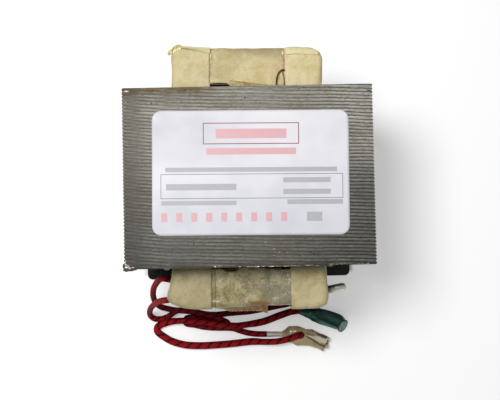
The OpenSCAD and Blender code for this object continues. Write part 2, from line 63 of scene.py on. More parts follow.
# Driving sizes of the model, in millimetres
CORE_W, STACK, CORE_TOP, JOINT_Z = 104.0, 75.0, 88.6, 71.6
LAMINATIONS = 52                            # ridges that show through the stack
LEAD_D = 3.1
WIND_X, WIND_Y = 18.2, 41.0                 # half sizes inside the windings
WIND_OUT_X = 32.75                          # half width outside the windings
WIND_CORNER = 1.5
PRIMARY_Z, PRIMARY_H, WIRE_D = 19.3, 20.0, 2.0
SHORT_Z = 47.3
SECONDARY_Z, SECONDARY_FRONT, SECONDARY_BACK = 51.1, 54.4, 55.4
SIDES = ((-1, "left"), (1, "right"))


# Finishes
class Value:
    """A number or a colour that a material works out at each point."""

    def __init__(self, finish, socket):
        self.finish, self.socket = finish, socket

    def __add__(self, other):
        return self.finish.calc("ADD", self, other)

    def __radd__(self, other):
        return self.finish.calc("ADD", other, self)

    def __sub__(self, other):
        return self.finish.calc("SUBTRACT", self, other)

    def __rsub__(self, other):
        return self.finish.calc("SUBTRACT", other, self)

    def __mul__(self, other):
        return self.finish.calc("MULTIPLY", self, other)

    def __truediv__(self, other):
        return self.finish.calc("DIVIDE", self, other)

    def __pow__(self, other):
        return self.finish.calc("POWER", self, other)

    def __abs__(self):
        return self.finish.calc("ABSOLUTE", self)


class Finish:
    """A material whose nodes are added one call at a time. Lengths are in mm."""

    def __init__(self, name, colour, rough, metal=0.0, specular=0.5):
        self.material = bpy.data.materials.new(name)
        self.material.use_nodes = True
        self.tree = self.material.node_tree
        self.shader = self.tree.nodes["Principled BSDF"]
        self.paint(colour)
        self.put("Roughness", rough)
        self.put("Metallic", metal)
        self.put("Specular IOR Level", specular)
        self.place = self.add("VectorMath", {0: self.add("TexCoord", output="Object"),
                                             1: (1 / MM,) * 3}, operation="MULTIPLY")
        self.height = None

    def join(self, socket, value):
        """Gives a socket its value: a link, a number or a colour."""
        if isinstance(value, Value):
            self.tree.links.new(value.socket, socket)
        elif value is not None:
            socket.default_value = (*value, 1.0)[:4] if socket.type == "RGBA" else value

    def add(self, kind, inputs=(), output=0, **settings):
        """Adds a node with these inputs and settings; gives one of its outputs."""
        node = self.tree.nodes.new("ShaderNode" + kind)
        for setting, value in settings.items():
            setattr(node, setting, value)
        for socket, value in dict(inputs).items():
            self.join(node.inputs[socket], value)
        return Value(self, node.outputs[output])

    def put(self, socket, value):
        self.join(self.shader.inputs[socket], value)

    def axes(self, vector=None):
        """The X, Y and Z of a vector, or else of the place in mm."""
        first = self.add("SeparateXYZ", {0: vector or self.place})
        return [Value(self, socket) for socket in first.socket.node.outputs]

    def shrunk(self, x_share, y_share=None):
        """The place with its X, and its Y if given, shrunk, for drawn-out noise."""
        x, y, z = self.axes()
        return self.add("CombineXYZ", {0: x * x_share, 1: y * y_share if y_share else y, 2: z})

    def calc(self, operation, a, b=None, clamp=False):
        return self.add("Math", {0: a, 1: b}, operation=operation, use_clamp=clamp)

    def band(self, value, low, high, to_low=0.0, to_high=1.0):
        """Smooth step of value from low to high."""
        return self.add("MapRange", {"Value": value, "From Min": low, "From Max": high,
                                     "To Min": to_low, "To Max": to_high}, "Result",
                        interpolation_type="SMOOTHSTEP")

    def cloud(self, size, detail=3.0, rough=0.55, vector=None, distortion=0.0):
        """Noise whose features are about size mm across."""
        return self.add("TexNoise", {"Vector": vector or self.place, "Scale": 1.0 / size,
                                     "Detail": detail, "Roughness": rough,
                                     "Distortion": distortion}, "Fac")

    def cells(self, size):
        """Distance from the middle of the nearest of many scattered cells."""
        return self.add("TexVoronoi", {"Vector": self.place, "Scale": 1.0 / size}, "Distance")

    def chance(self, value):
        """A steady random number for each whole value."""
        return self.add("TexWhiteNoise", {"W": self.calc("FLOOR", value)}, "Value",
                        noise_dimensions="1D")

    def fold(self, value):
        """How far a value is from the middle between two whole numbers."""
        return abs(self.calc("FRACT", value) - 0.5)

    def mix(self, share, a, b, way="MIX"):
        return self.add("Mix", {"Factor": share, 6: a, 7: b}, 2, data_type="RGBA",
                        blend_type=way)

    def facing(self, axis):
        """How far the surface faces along an axis, from 0 to 1, either way."""
        return abs(self.normal(axis))

    def normal(self, axis):
        return self.axes(self.add("NewGeometry", output="Normal"))[axis]

    def paint(self, colour):
        """Sets the colour, and keeps it for the stains and shades that follow."""
        self.colour = colour
        self.put("Base Color", colour)

    def mottle(self, value, start, end, low, high):
        """Paints it from low to high as the value goes from start to end."""
        self.paint(self.mix(self.band(value, start, end), low, high))

    def stain(self, share, colour):
        """Covers a share of the colour with another."""
        self.paint(self.mix(share, self.colour, colour))

    def shade(self, share, high, low=1.0):
        """Multiplies the colour by low where share is 0 and by high where it is 1."""
        low, high = (c if isinstance(c, tuple) else (c,) * 3 for c in (low, high))
        self.paint(self.mix(1.0, self.colour, self.mix(share, low, high), "MULTIPLY"))

    def rough(self, *band):
        self.put("Roughness", self.band(*band))

    def coat(self, weight, rough=None):
        self.put("Coat Weight", weight)
        self.put("Coat Roughness", rough)

    def clear(self, weight, bending=None):
        self.put("Transmission Weight", weight)
        self.put("IOR", bending)

    def emboss(self, height, depth, strength=1.0):
        """Bump of the given depth in mm, over the bumps before it."""
        self.height = self.add("Bump", {"Distance": depth * MM, "Strength": strength,
                                        "Height": height, "Normal": self.height}, "Normal")
        self.put("Normal", self.height)
        return self


def tone(*rgb):
    """An sRGB colour of 0 to 255 as the linear colour that a shader takes."""
    return tuple(((c / 255 + 0.055) / 1.055) ** 2.4 if c > 10 else c / 3295 for c in rgb)


def scaled(colour, factor):
    """A darker or a lighter shade of a colour."""
    return tuple(min(1, c * factor) for c in colour)


def laminated(name, light, dark, brown):
    """Edges of stacked sheets under thin varnish, and the flat sheet in front."""
    f = Finish(name, light, 0.5, 0.0, 0.18)
    x, y, _ = f.axes()
    sway = (f.cloud(26, 2) - 0.5) * 1.1 + f.cloud(5, 3) * 0.5
    bend = f.calc("MAXIMUM", -34 - x, 0) * -0.07
    count = (y + x * 0.035 + (sway + bend) + STACK / 2) * (LAMINATIONS / STACK)
    groove = f.band(f.fold(count), 0.16, 0.44)
    streaks = f.cloud(0.8, 5, 0.65, f.shrunk(0.09))
    level = f.chance(count) * 0.45 + streaks * 0.9
    f.mottle(level, 0.25, 1.05, scaled(light, 0.68), light)
    right = f.band(x, 30, 42)
    f.shade(right, (1.3, 1.3, 1.34))
    f.stain(groove * (right * 0.3 + 0.6), dark)
    f.stain(f.band(f.cloud(0.45, 3, 0.7, f.shrunk(0.2)), 0.5, 0.75) * 0.4, dark)
    grain = f.cloud(0.7, 4, 0.7, f.shrunk(0.45))
    f.stain(f.band(grain, 0.5, 0.68) * 0.42, dark)
    f.shade(f.band(grain, 0.5, 0.3), 1.3)
    sheet_face = f.mix(f.cloud(7, 4), dark, scaled(light, 0.7))
    f.stain(f.band(f.facing(1), 0.5, 0.8), sheet_face)
    f.stain(f.band(f.cloud(14, 5, 0.62), 0.44, 0.72) * 0.34, brown)
    # varnish has run thick along the back left edge
    back = f.band(y + f.cloud(6, 3) * 5, 36.2, 39.2) * f.band(x, -6, -22)
    f.stain(back * f.band(f.cloud(3, 4), 0.3, 0.62, 0.45, 0.9), tone(112, 90, 54))
    # painted shade: the front face and the front edge are darker, as they face away from the light
    f.stain(f.band(y + f.cloud(5, 3) * -5, -37, -41) * 0.6, tone(58, 54, 46))
    f.stain(f.band(x, -38, -50) * 0.5, tone(84, 76, 70))
    f.stain(f.band(f.cells(2.6), 0.16, 0.09) * f.band(f.cloud(9, 2), 0.56, 0.62),
            tone(28, 26, 22))
    # painted shade: darker towards the front end, where less light falls; also darker towards the
    # front right and at the back left
    f.shade(f.band(y, 34, -37), 0.46)
    f.shade(f.band(x, 6, 50) * f.band(y, 14, -4), (0.62, 0.62, 0.63))
    f.shade(f.band(x, -8, -24) * f.band(y, 29, 34), (0.8, 0.79, 0.76))
    f.rough(streaks, 0.3, 0.75, 0.42, 0.7)
    return f.emboss(streaks, 0.07).material


def black_varnish():
    f = Finish("base plate varnish", tone(16, 14, 13), 0.5, 0.0, 0.25)
    spots = f.cloud(3.5, 4)
    f.mottle(spots, 0.4, 0.75, tone(14, 12, 11), tone(30, 26, 22))
    f.rough(spots, 0.3, 0.8, 0.4, 0.65)
    x = f.axes()[0]
    # painted shade and light: the plate is darker at the left and much lighter at its right end
    f.shade(f.band(x, 30, 50), 2.2, 0.45)
    f.put("Specular IOR Level", f.band(x, -30, 20, 0.12, 0.5))
    return f.emboss(f.cloud(0.9, 3), 0.05).material


def weld_metal():
    f = Finish("weld metal", tone(104, 98, 92), 0.38, 0.8)
    f.mottle(f.cloud(4, 3), 0.35, 0.7, tone(88, 82, 78), tone(140, 120, 96))
    f.rough(f.cloud(1.2), 0.3, 0.8, 0.28, 0.55)
    return f.emboss(f.cloud(0.5, 4), 0.08).material


def shunt_steel():
    f = Finish("shunt sheet edges", tone(98, 92, 82), 0.5, 0.5)
    line = f.fold(f.axes()[2] / 0.5)
    f.mottle(line, 0.3, 0.48, tone(106, 100, 90), tone(46, 42, 36))
    f.stain(f.band(f.cloud(6, 4), 0.5, 0.7) * 0.6, tone(92, 62, 34))
    return f.emboss(line, 0.1).material


def paper(name, pale, stained, soaked, shine):
    """Insulating paper, cream and fibrous, stained and stiffened by varnish."""
    f = Finish(name, pale, 0.62)
    blotch = f.cloud(7.5, 5, 0.62, distortion=0.6)
    fine = f.cloud(1.1, 4, 0.7)
    wet = f.cloud(4.2, 4, 0.6)
    f.mottle(blotch, 0.38, 0.7, pale, stained)
    f.stain(f.band(wet, 0.5, 0.74) * soaked, scaled(stained, 0.55))
    f.stain(f.band(fine, 0.5, 0.72) * 0.42, scaled(stained, 0.6))
    speck = f.band(f.cells(2.2), 0.13, 0.07) * 0.6
    f.stain(speck * f.band(f.cloud(6, 2), 0.5, 0.6), scaled(stained, 0.35))
    # painted shade: darker towards the left
    f.shade(f.band(f.axes()[0], 4, -20), (0.84, 0.84, 0.82))
    f.rough(wet, 0.35, 0.7, 0.66, shine)
    return f.emboss(blotch, 0.3, 0.6).emboss(fine, 0.08)


def rough_paper():
    """Middle paper in front: mottled, gritty and glossy with pooled varnish."""
    f = Finish("gritty varnished paper", tone(150, 140, 104), 0.4)
    x, y, z = f.axes()
    blotch = f.cloud(6.5, 5, 0.66, distortion=1.0)
    grit = f.cloud(0.9, 5, 0.75)
    f.mottle(blotch, 0.36, 0.66, tone(180, 169, 118), tone(136, 121, 74))
    f.stain(f.band(x, -6, 4) * f.band(f.cloud(9, 4), 0.34, 0.56) * 0.75, tone(138, 131, 110))
    olive = abs(x - (6.2 + f.cloud(4, 3) * 2.4))
    f.stain(f.band(olive, 1.7, 0.5) * f.band(y, -49, -45) * 0.6, tone(104, 96, 52))
    f.stain(f.band(grit, 0.48, 0.68) * 0.7, tone(66, 60, 38))
    # pale specks of grit, painted bright as glints on the varnish
    f.stain(f.band(f.cells(1.6), 0.2, 0.1) * 0.6, tone(214, 206, 172))
    grains = f.band(x, 5, 13) * f.band(y, -50, -45)
    f.stain(f.band(f.cells(1.0), 0.24, 0.12) * grains, tone(228, 224, 200))
    # painted shade along a crease beside the left side paper's edge
    f.stain(f.band(x, -15.0, -15.8) * 0.55, tone(126, 112, 62))
    crease = abs(x + 15.7 + f.cloud(5, 2) * -0.8)
    f.stain(f.band(crease, 0.3, 0.1) * 0.75, tone(66, 56, 28))
    away = ((x - 4.0) / 4) ** 2 + ((y + 54.6) / 1.8) ** 2 + f.cloud(2, 4) * 1.8
    f.stain(f.band(away, 2.4, 1.0) * f.band(z, 66, 70, 0.0, 0.75), tone(140, 86, 20))
    f.rough(blotch, 0.3, 0.7, 0.2, 0.5)
    f.coat(0.5, 0.18)
    return f.emboss(blotch, 0.5, 0.7).emboss(grit, 0.22).material


def back_paper():
    """Middle paper behind: cream, with a grey brown tide mark along its far edge."""
    f = paper("stained middle paper", tone(218, 202, 150), tone(200, 180, 124), 0.35, 0.36)
    x, y, _ = f.axes()
    mark = f.band(y + f.cloud(5, 4) * 7, 54.6, 58.6) * f.band(x, -12, 0)
    f.stain(mark * 0.5, tone(134, 112, 88))
    return f.material


def enamelled(name, low, high):
    f = Finish(name, low, 0.24, 0.75)
    f.mottle(f.cloud(3.0, 4), 0.35, 0.7, low, high)
    f.rough(f.cloud(2), 0.3, 0.8, 0.18, 0.4)
    f.coat(0.6, 0.15)
    return f.emboss(f.cloud(0.8, 3), 0.05).material


def fine_winding():
    f = Finish("fine secondary winding", tone(140, 74, 36), 0.32, 0.5)
    _, y, z = f.axes()
    turn = f.fold(z / 0.42)
    f.mottle(turn, 0.2, 0.5, tone(84, 48, 26), tone(34, 18, 10))
    # painted shade: nearly black where the winding lies in the gap by the core
    f.stain(f.band(abs(y), 45, 42.5) * 0.85, tone(18, 14, 10))
    return f.emboss(turn, 0.12).material


def braid(name, lay, red, deep):
    """Red braided sleeve with two black tracers; UV is the length in mm and the
    share of the way round, lay the length of one turn of the strands."""
    f = Finish(name, red, 0.6, 0.0, 0.12)
    u, v, _ = f.axes(f.add("TexCoord", output="UV"))
    turn = u / lay
    right, left = (v + turn) * 8, (v - turn) * 8

    def crown(strand):
        return f.band(f.fold(strand), 0.5, 0.12)

    crossing = f.calc("PINGPONG", f.calc("FLOOR", right) + f.calc("FLOOR", left), 1)
    over = f.calc("GREATER_THAN", crossing, 0.5)
    high = crown(right) * over + crown(left) * (1 - over)
    tracer = f.band(abs(f.calc("MODULO", right + 800, 4) - 1.5), 0.8, 0.5)
    thread = f.cloud(0.3, 3, 0.6)
    # painted shade: the grooves between the strands are darker
    f.mottle(high, 0.0, 0.8, deep, red)
    f.stain(f.band(thread, 0.5, 0.78) * 0.22, scaled(red, 1.7))
    f.stain(f.band(f.cloud(9, 3), 0.5, 0.75) * 0.3, deep)
    x, y, z = f.axes()
    # painted shade: darker just in front of the winding, low near the floor
    f.shade(f.band(y, -70.5, -65.5) * f.band(z, 10, 6) * f.band(x, -45, -41), 0.7)
    # painted shade on the sides that face the back, painted light on the sides that face the front
    f.shade(f.band(f.normal(1), -0.1, 0.8), 0.62, 1.12)
    # painted light: lighter where the lead runs high
    f.shade(f.band(z, 14, 30), (1.7, 1.6, 1.6))
    f.stain(tracer * (over * 0.34 + 0.62), tone(12, 4, 6))
    f.rough(thread, 0.3, 0.8, 0.55, 0.75)
    return f.emboss(high, 0.14).emboss(thread, 0.03).material


def tinned():
    f = Finish("tinned metal", tone(226, 224, 216), 0.34, 0.3)
    rub = f.cloud(1.0, 4, 0.7, f.shrunk(0.25))
    f.mottle(rub, 0.35, 0.75, tone(230, 228, 220), tone(160, 156, 146))
    f.rough(rub, 0.3, 0.8, 0.26, 0.48)
    return f.emboss(rub, 0.05).material


def tab_blade():
    """The high-voltage tab: matt tin, with painted shade along its back edge and at its root."""
    f = Finish("tab with painted shade", tone(204, 204, 192), 0.5, 0.1)
    x, y, _ = f.axes()
    rub = f.cloud(0.8, 3)
    f.mottle(rub, 0.35, 0.7, tone(244, 244, 230), tone(206, 206, 190))
    # painted shade along the back edge and at the root
    level = y - x * 0.185
    dark = f.calc("MAXIMUM", f.band(level, -55.85, -55.6), f.band(x, 33.4, 32.9))
    f.stain(dark * 0.85, tone(44, 44, 36))
    return f.emboss(rub, 0.06).material


def across(f, x0, y0, slope, bend):
    """Distance across a sleeve whose middle bends down behind x0."""
    x, y, _ = f.axes()
    return y - y0 + f.calc("MAXIMUM", x - x0, 0) * slope + (f.cloud(6, 2) - 0.5) * bend


def streak(f, value, low, high, shade, share):
    """A lengthwise streak of another colour between two distances across; on the sleeves most
    streaks are painted highlights and painted shade.
    """
    near = abs(value - (low + high) / 2)
    f.stain(f.band(near, (high - low) * 0.75, (high - low) * 0.3) * share, tone(*shade))


def clear_green():
    f = Finish("dark green sleeve", tone(6, 76, 68), 0.16, 0.0, 0.45)
    x = f.axes()[0]
    side = across(f, 27, -66, 0.42, 1.2)
    f.mottle(f.cloud(5, 3), 0.35, 0.7, tone(0, 68, 57), tone(8, 102, 86))
    # streaks in order: the red lead seen through the wall, two painted highlights, painted shade,
    # a pale lower edge painted as light through the wall, painted shade along the top
    for low, high, start, end, share, shade in (
            (2.6, 4.6, 35, 33, 0.85, (66, 12, 22)), (-0.6, 0.6, 35, 33, 0.6, (84, 140, 126)),
            (2.2, 3.8, 37, 41, 0.5, (84, 136, 124)), (0.0, 1.2, 33, 36, 0.8, (0, 38, 34)),
            (-2.6, -0.4, 33, 37, 0.9, (112, 166, 148)), (5.0, 7.0, 37, 41, 0.7, (0, 44, 38))):
        streak(f, side, low, high, shade, f.band(x, start, end) * share)
    f.clear(0.2, 1.5)
    return f.emboss(f.cloud(4.5, 2), 0.5, 0.7).material


def sleeve_wall(name, low, high):
    """The inside or the cut rim of a sleeve."""
    f = Finish(name, low, 0.32)
    f.mottle(f.cloud(1.6, 3), 0.35, 0.65, low, high)
    f.rough(f.cloud(1.0, 2), 0.3, 0.7, 0.25, 0.45)
    return f.emboss(f.cloud(0.9, 2), 0.1).material


def aged_clear():
    f = Finish("aged clear sleeve", tone(206, 184, 140), 0.24)
    x = f.axes()[0]
    side = across(f, 26, -77.4, 0.36, 1.6)
    f.mottle(f.cloud(3.4, 4), 0.35, 0.7, tone(208, 187, 142), tone(164, 140, 94))
    far = f.band(x, 26, 30)
    # streaks in order: a dark olive band, a painted highlight, a pale lower edge
    for low, high, start, share, shade in ((2.6, 4.2, 33, 0.9, (74, 68, 44)),
                                           (0.2, 2.6, 29, 0.9, (252, 242, 216)),
                                           (-4.6, -2.6, 28, 0.45, (196, 186, 150))):
        streak(f, side, low, high, shade, f.band(x, start - 1, start + 2, 0.0, share))
    # painted shade along two folds
    streak(f, side + (x - 30) * 0.26, -0.3, 0.8, (86, 68, 40), far * 0.85)
    streak(f, side, 1.7, 2.6, (84, 76, 34), far * f.band(x, 33.5, 32.5, 0.0, 0.8))
    f.clear(0.12, 1.45)
    f.coat(0.5, 0.12)
    return f.emboss(f.cloud(1.6, 3, 0.55, f.shrunk(0.25)), 0.5, 0.8).material


def label_stock():
    f = Finish("label stock", tone(236, 235, 241), 0.42)
    x, y, _ = f.axes()
    wave = f.cloud(16, 2)
    f.mottle(wave, 0.4, 0.7, tone(236, 235, 240), tone(228, 228, 234))
    # painted shade: darker at the upper left and towards the front
    f.shade(f.band(x, 10, -26) * f.band(y, 0, 10), (0.87, 0.87, 0.88))
    f.shade(f.band(y, 12, -26), (0.87, 0.88, 0.9))
    f.rough(wave, 0.3, 0.7, 0.5, 0.62)
    return f.emboss(wave, 0.15, 0.5).emboss(f.cloud(0.6, 3), 0.01).material


def ink(name, colour):
    f = Finish(name, colour, 0.5)
    worn = tuple(c + (0.82 - c) * 0.3 for c in colour)
    f.mottle(f.cloud(0.7, 3), 0.55, 0.8, colour, worn)
    return f.material


def amber_film(name, pale, deep, clear=0.15, gloss=0.6):
    f = Finish(name, pale, 0.3)
    tint = f.cloud(2.2, 4)
    f.stain(f.band(tint, 0.3, 0.66) * f.band(f.axes()[0], -9, -1, 0.35, 1.0), deep)
    fibre = f.cloud(1.2, 4, 0.65, f.shrunk(1.6, 0.6))
    f.stain(f.band(fibre, 0.48, 0.66) * 0.5, scaled(deep, 0.5))
    f.stain(f.band(fibre, 0.46, 0.34) * 0.5, scaled(pale, 1.5))
    f.clear(clear)
    f.coat(gloss, 0.15)
    return f.emboss(tint, 0.2).material


def fibre_board():
    f = Finish("fibre board", tone(184, 160, 112), 0.6)
    fibre = f.cloud(1.1, 5, 0.7)
    f.mottle(fibre, 0.35, 0.7, tone(196, 172, 124), tone(142, 114, 70))
    return f.emboss(fibre, 0.08).material


def dried_varnish():
    f = Finish("dried varnish", tone(200, 194, 172), 0.3)
    tint = f.cloud(1.4, 4)
    pale = f.mix(f.band(f.axes()[1], 20, 30), tone(210, 203, 180), tone(204, 190, 132))
    f.mottle(tint, 0.4, 0.7, pale, tone(120, 108, 78))
    f.coat(0.5)
    return f.emboss(tint, 0.2).material


def scorched():
    f = Finish("scorched varnish", tone(34, 30, 24), 0.45)
    tint = f.cloud(0.8, 3)
    f.mottle(tint, 0.4, 0.7, tone(30, 27, 22), tone(62, 54, 42))
    f.stain(f.band(f.axes()[1], -37.1, -37.4), tone(92, 86, 74))
    f.rough(tint, 0.3, 0.8, 0.35, 0.6)
    return f.emboss(tint, 0.1).material


CORE_UPPER = laminated("core top laminations", tone(176, 173, 162), tone(72, 70, 62),
                       tone(104, 90, 66))
CORE_LOWER = laminated("core laminations", tone(150, 147, 138), tone(60, 57, 50),
                       tone(92, 76, 52))
UPPER_PAPER = paper("upper paper", tone(232, 217, 168), tone(214, 195, 140), 0.25, 0.42).material
# a darker copy of the upper paper: painted shade for paper in front, which gets less light
SHADED_PAPER = paper("lower paper in painted shade", tone(200, 187, 142), tone(180, 165, 118), 0.3, 0.34).material
TURNED_PAPER = paper("turned paper edge", tone(238, 227, 180), tone(222, 209, 158), 0.2,
                     0.5).material
LINK_BRAID = braid("bright red braid", 10.4, tone(176, 20, 30), tone(96, 6, 14))
BRAID = braid("deep red braid", 9.0, tone(152, 20, 30), tone(78, 6, 14))
ENAMEL = enamelled("enamelled copper wire", tone(120, 56, 26), tone(186, 104, 52))
WIRE = enamelled("dark varnished wire", tone(56, 30, 18), tone(92, 52, 30))
COPPER = amber_film("copper strip", tone(196, 156, 128), tone(176, 132, 102), 0.0, 0.1)
AMBER = amber_film("amber film", tone(158, 130, 76), tone(140, 92, 34), 0.05)
BACK_AMBER = amber_film("yellow film", tone(168, 142, 70), tone(146, 120, 52), 0.0, 0.15)
SOAKED = amber_film("soaked paper film", tone(222, 206, 140), tone(206, 188, 112), 0.12, 0.15)
TIN = tinned()
BOARD = fibre_board()
# the inside is painted pale: painted light that comes through the thin wall
GREEN = [clear_green(), sleeve_wall("pale green inside", tone(132, 190, 172), tone(160, 206, 190)),
         sleeve_wall("dark green rim", tone(8, 40, 36), tone(16, 58, 52))]
# the inside is darker: painted shade inside the sleeve
CLEAR = [aged_clear(), sleeve_wall("aged clear inside", tone(120, 100, 66), tone(150, 130, 94)),
         sleeve_wall("aged clear rim", tone(96, 84, 56), tone(120, 106, 76))]


# Making pieces
def piece(bm, name, finishes, replaced=(), sharp=40):
    """Turns a bmesh in millimetres into a piece that rides with the part."""
    bmesh.ops.recalc_face_normals(bm, faces=bm.faces)
    bmesh.ops.scale(bm, vec=(MM,) * 3, verts=bm.verts)
    mesh = bpy.data.meshes.new(name)
    bm.to_mesh(mesh)
    bm.free()
    mesh.shade_smooth()
    mesh.set_sharp_from_angle(angle=math.radians(sharp))
    for finish in finishes if isinstance(finishes, list) else [finishes]:
        mesh.materials.append(finish)
    obj = placed(name, mesh)
    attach(obj, "root")
    if replaced:
        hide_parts(*replaced)
    return obj


def thicken(obj, thick, offset, inside=0):
    """Gives a sheet its thickness in mm; inside is the inner side's finish."""
    solid = obj.modifiers.new("thickness", "SOLIDIFY")
    solid.thickness = thick * MM
    solid.offset = offset
    solid.material_offset = inside


def merge(parts):
    """Several bmeshes as one."""
    whole = parts[0]
    for part in parts[1:]:
        held = bpy.data.meshes.new("held")
        part.to_mesh(held)
        part.free()
        whole.from_mesh(held)
        bpy.data.meshes.remove(held)
    return whole


def clamp(value):
    return min(max(value, 0), 1)


def smooth_route(points, step):
    """A curve through the points, as evenly spaced points about step mm apart."""
    p = [Vector(q) for q in points]
    p = [2 * p[0] - p[1]] + p + [2 * p[-1] - p[-2]]
    dense = []
    for i in range(1, len(p) - 2):
        a, b, c, d = p[i - 1:i + 3]
        for k in range(24):
            t = k / 24
            dense.append(0.5 * (2 * b + (c - a) * t + (2 * a - 5 * b + 4 * c - d) * t * t
                                + (3 * b - a - 3 * c + d) * t ** 3))
    dense.append(p[-2])
    return even(dense, step)


def even(line, step):
    """The same line in steps of equal length."""
    reach = [0.0]
    for a, b in zip(line, line[1:]):
        reach.append(reach[-1] + (b - a).length)
    count = max(2, round(reach[-1] / step))
    made, at = [], 0
    for k in range(count + 1):
        want = reach[-1] * k / count
        while at < len(line) - 2 and reach[at + 1] < want:
            at += 1
        span = reach[at + 1] - reach[at] or 1.0
        made.append(line[at].lerp(line[at + 1], (want - reach[at]) / span))
    return made


def carried_frames(line, closed=False):
    """A turned frame at each point of a line, carried along without twist."""
    frames, side = [], None
    last = len(line) - 1
    for i, here in enumerate(line):
        before = line[i - 1] if i or closed else line[0]
        after = line[(i + 1) % len(line)] if i < last or closed else line[last]
        along = (after - before).normalized()
        if side is None:
            side = along.orthogonal().normalized() if abs(along.z) > 0.9 else Vector((0, 0, 1))
        side = (side - along * side.dot(along)).normalized()
        frames.append(Matrix((side, along.cross(side), along)).transposed().to_4x4())
        frames[-1].translation = here
    return frames


def extruded(bm, edges):
    """Extrudes edges once: the new points and the new edges."""
    made = bmesh.ops.extrude_edge_only(bm, edges=edges)["geom"]
    return ([g for g in made if isinstance(g, bmesh.types.BMVert)],
            [g for g in made if isinstance(g, bmesh.types.BMEdge)])


def swept(bm, frames, sides, radius):
    """A circle that is extruded from frame to frame; gives its rings of points."""
    rings = [bmesh.ops.create_circle(bm, segments=sides, radius=radius,
                                     matrix=frames[0])["verts"]]
    edges = list(bm.edges)
    for before, here in zip(frames, frames[1:]):
        ring, edges = extruded(bm, edges)
        bmesh.ops.transform(bm, matrix=here @ before.inverted(), verts=ring)
        rings.append(ring)
    return rings


def tube(line, radius, sides, closed=False, shape=None, press=None):
    """A tube along a line of points. shape(u, v) adds to the radius, and press says
    how wide and tall it lies; UV holds the length in mm and the share round."""
    bm = bmesh.new()
    frames = carried_frames(line, closed)
    rings = swept(bm, frames, sides, radius)
    uv = bm.loops.layers.uv.new("UVMap")
    place, reach = {}, 0.0
    for i, ring in enumerate(rings):
        if i:
            reach += (line[i] - line[i - 1]).length
        inverse = frames[i].inverted()
        for v in ring:
            flat = inverse @ v.co
            place[v] = (reach, math.atan2(flat.y, flat.x) / math.tau % 1.0)
    for face in bm.faces:
        shares = [place[loop.vert][1] for loop in face.loops]
        wraps = max(shares) - min(shares) > 0.5
        for loop, share in zip(face.loops, shares):
            loop[uv].uv = (place[loop.vert][0], share + (wraps and share < 0.5))
    for here, ring in zip(frames, rings):
        centre = here.translation
        wide, tall = press(centre) if press else (1, 1)
        for v in ring:
            out = (v.co - centre) * (1 + shape(*place[v]) / radius if shape else 1)
            v.co = centre + Vector((out.x * wide, out.y * wide, out.z * tall))
    ends = [e for e in bm.edges if e.is_boundary]
    if closed:
        bmesh.ops.bridge_loops(bm, edges=ends)
    else:
        bmesh.ops.holes_fill(bm, edges=ends, sides=0)
    return bm


def sheet(name, size, place, finish, replaced=(), thick=0.15):
    """A thin sheet: a grid whose points go to place(u, v), u and v from 0 to 1."""
    bm = bmesh.new()
    bmesh.ops.create_grid(bm, x_segments=size[0], y_segments=size[1], size=0.5)
    for v in bm.verts:
        v.co = Vector(place(v.co.x + 0.5, v.co.y + 0.5))
    thicken(piece(bm, name, finish, replaced, 50), thick, 0)


def blobs(name, spots, finish, replaced=(), rough=0.15):
    """Rounded lumps; a spot is its middle and its three half sizes."""
    bm = bmesh.new()
    for k, (x, y, z, rx, ry, rz) in enumerate(spots):
        for v in bmesh.ops.create_icosphere(bm, subdivisions=3, radius=1.0)["verts"]:
            v.co *= 1 + rough * noise.noise(v.co * 1.7 + Vector((k * 3.7, 0, 0)))
            v.co = Vector((x + v.co.x * rx, y + v.co.y * ry, z + v.co.z * rz))
    piece(bm, name, finish, replaced, 60)


# Leads: X, Y and the height of the underside
LEAD_FRONT = [
    (-9, -46.5, 43.8), (-20, -46, 43.8), (-29, -45.4, 43.8), (-36, -45, 43.4),
    (-41.2, -44.6, 41), (-45.6, -48.8, 28), (-47.2, -52.7, 20), (-47.9, -55.8, 11),
    (-47.8, -58.6, 4), (-46.9, -60.3, 1), (-45.4, -61.5, 0), (-43.3, -62.2, 0),
    (-39, -63.2, 0), (-35.6, -63.6, 0), (-31.1, -64.1, 0), (-26.5, -64.9, 0),
    (-22, -65.8, 0), (-18.6, -66.1, 0), (-15.1, -66, 0), (-10.6, -65.6, 0), (-6, -65.3, 0),
    (0, -64.9, 0), (7, -63.8, 0), (14, -62.5, 0), (20.6, -61.2, 0), (26.3, -58.3, 0)]
LEAD_SIDE = [
    (-9, -51.9, 47.3), (-20, -51.9, 47.3), (-30, -53, 46.7), (-37.7, -54.1, 44.2),
    (-40.6, -54.7, 40.6), (-43.6, -56, 33), (-46.7, -58.3, 22), (-49.3, -61, 12),
    (-50.6, -63.8, 5), (-50.4, -66, 1.2), (-49, -67.3, 0), (-47.1, -67.7, 0), (-45, -67.6, 0),
    (-42.6, -66.9, 0.3), (-40.5, -65.7, 1.6), (-38.6, -64.3, 2.7), (-36.7, -63.4, 3.1),
    (-34.5, -63.2, 3.1), (-31.4, -63.5, 3.1), (-27.5, -64.2, 3.1), (-24.3, -65, 3.1),
    (-21.9, -65.6, 3.1), (-19.6, -66.2, 3.1), (-17, -67.1, 2.9), (-14.9, -68.2, 2.3),
    (-13.3, -69.1, 1.5), (-12.1, -69.8, 0.8), (-11.4, -70.3, 0.4), (-11.8, -70.7, 0.1),
    (-13.4, -70.6, 0), (-15, -70.3, 0), (-16.8, -70, 0), (-19.8, -69.3, 0), (-22, -68.9, 0),
    (-24.3, -68.3, 0), (-26.6, -67.8, 0), (-28.9, -67.4, 0), (-31.3, -67.3, 0),
    (-32.5, -67.8, 0), (-33, -69, 0), (-32.5, -70.2, 0), (-31.3, -70.7, 0), (-28.9, -71, 0),
    (-26.7, -71.5, 0), (-24.4, -72.1, 0), (-20.7, -72.6, 0), (-16.4, -72.9, 0),
    (-12.1, -73, 0), (-8.4, -73.4, 0), (-5, -74.6, 0), (-1.3, -75.7, 0), (3.4, -76.4, 0.1),
    (8.4, -76.5, 0.65)]
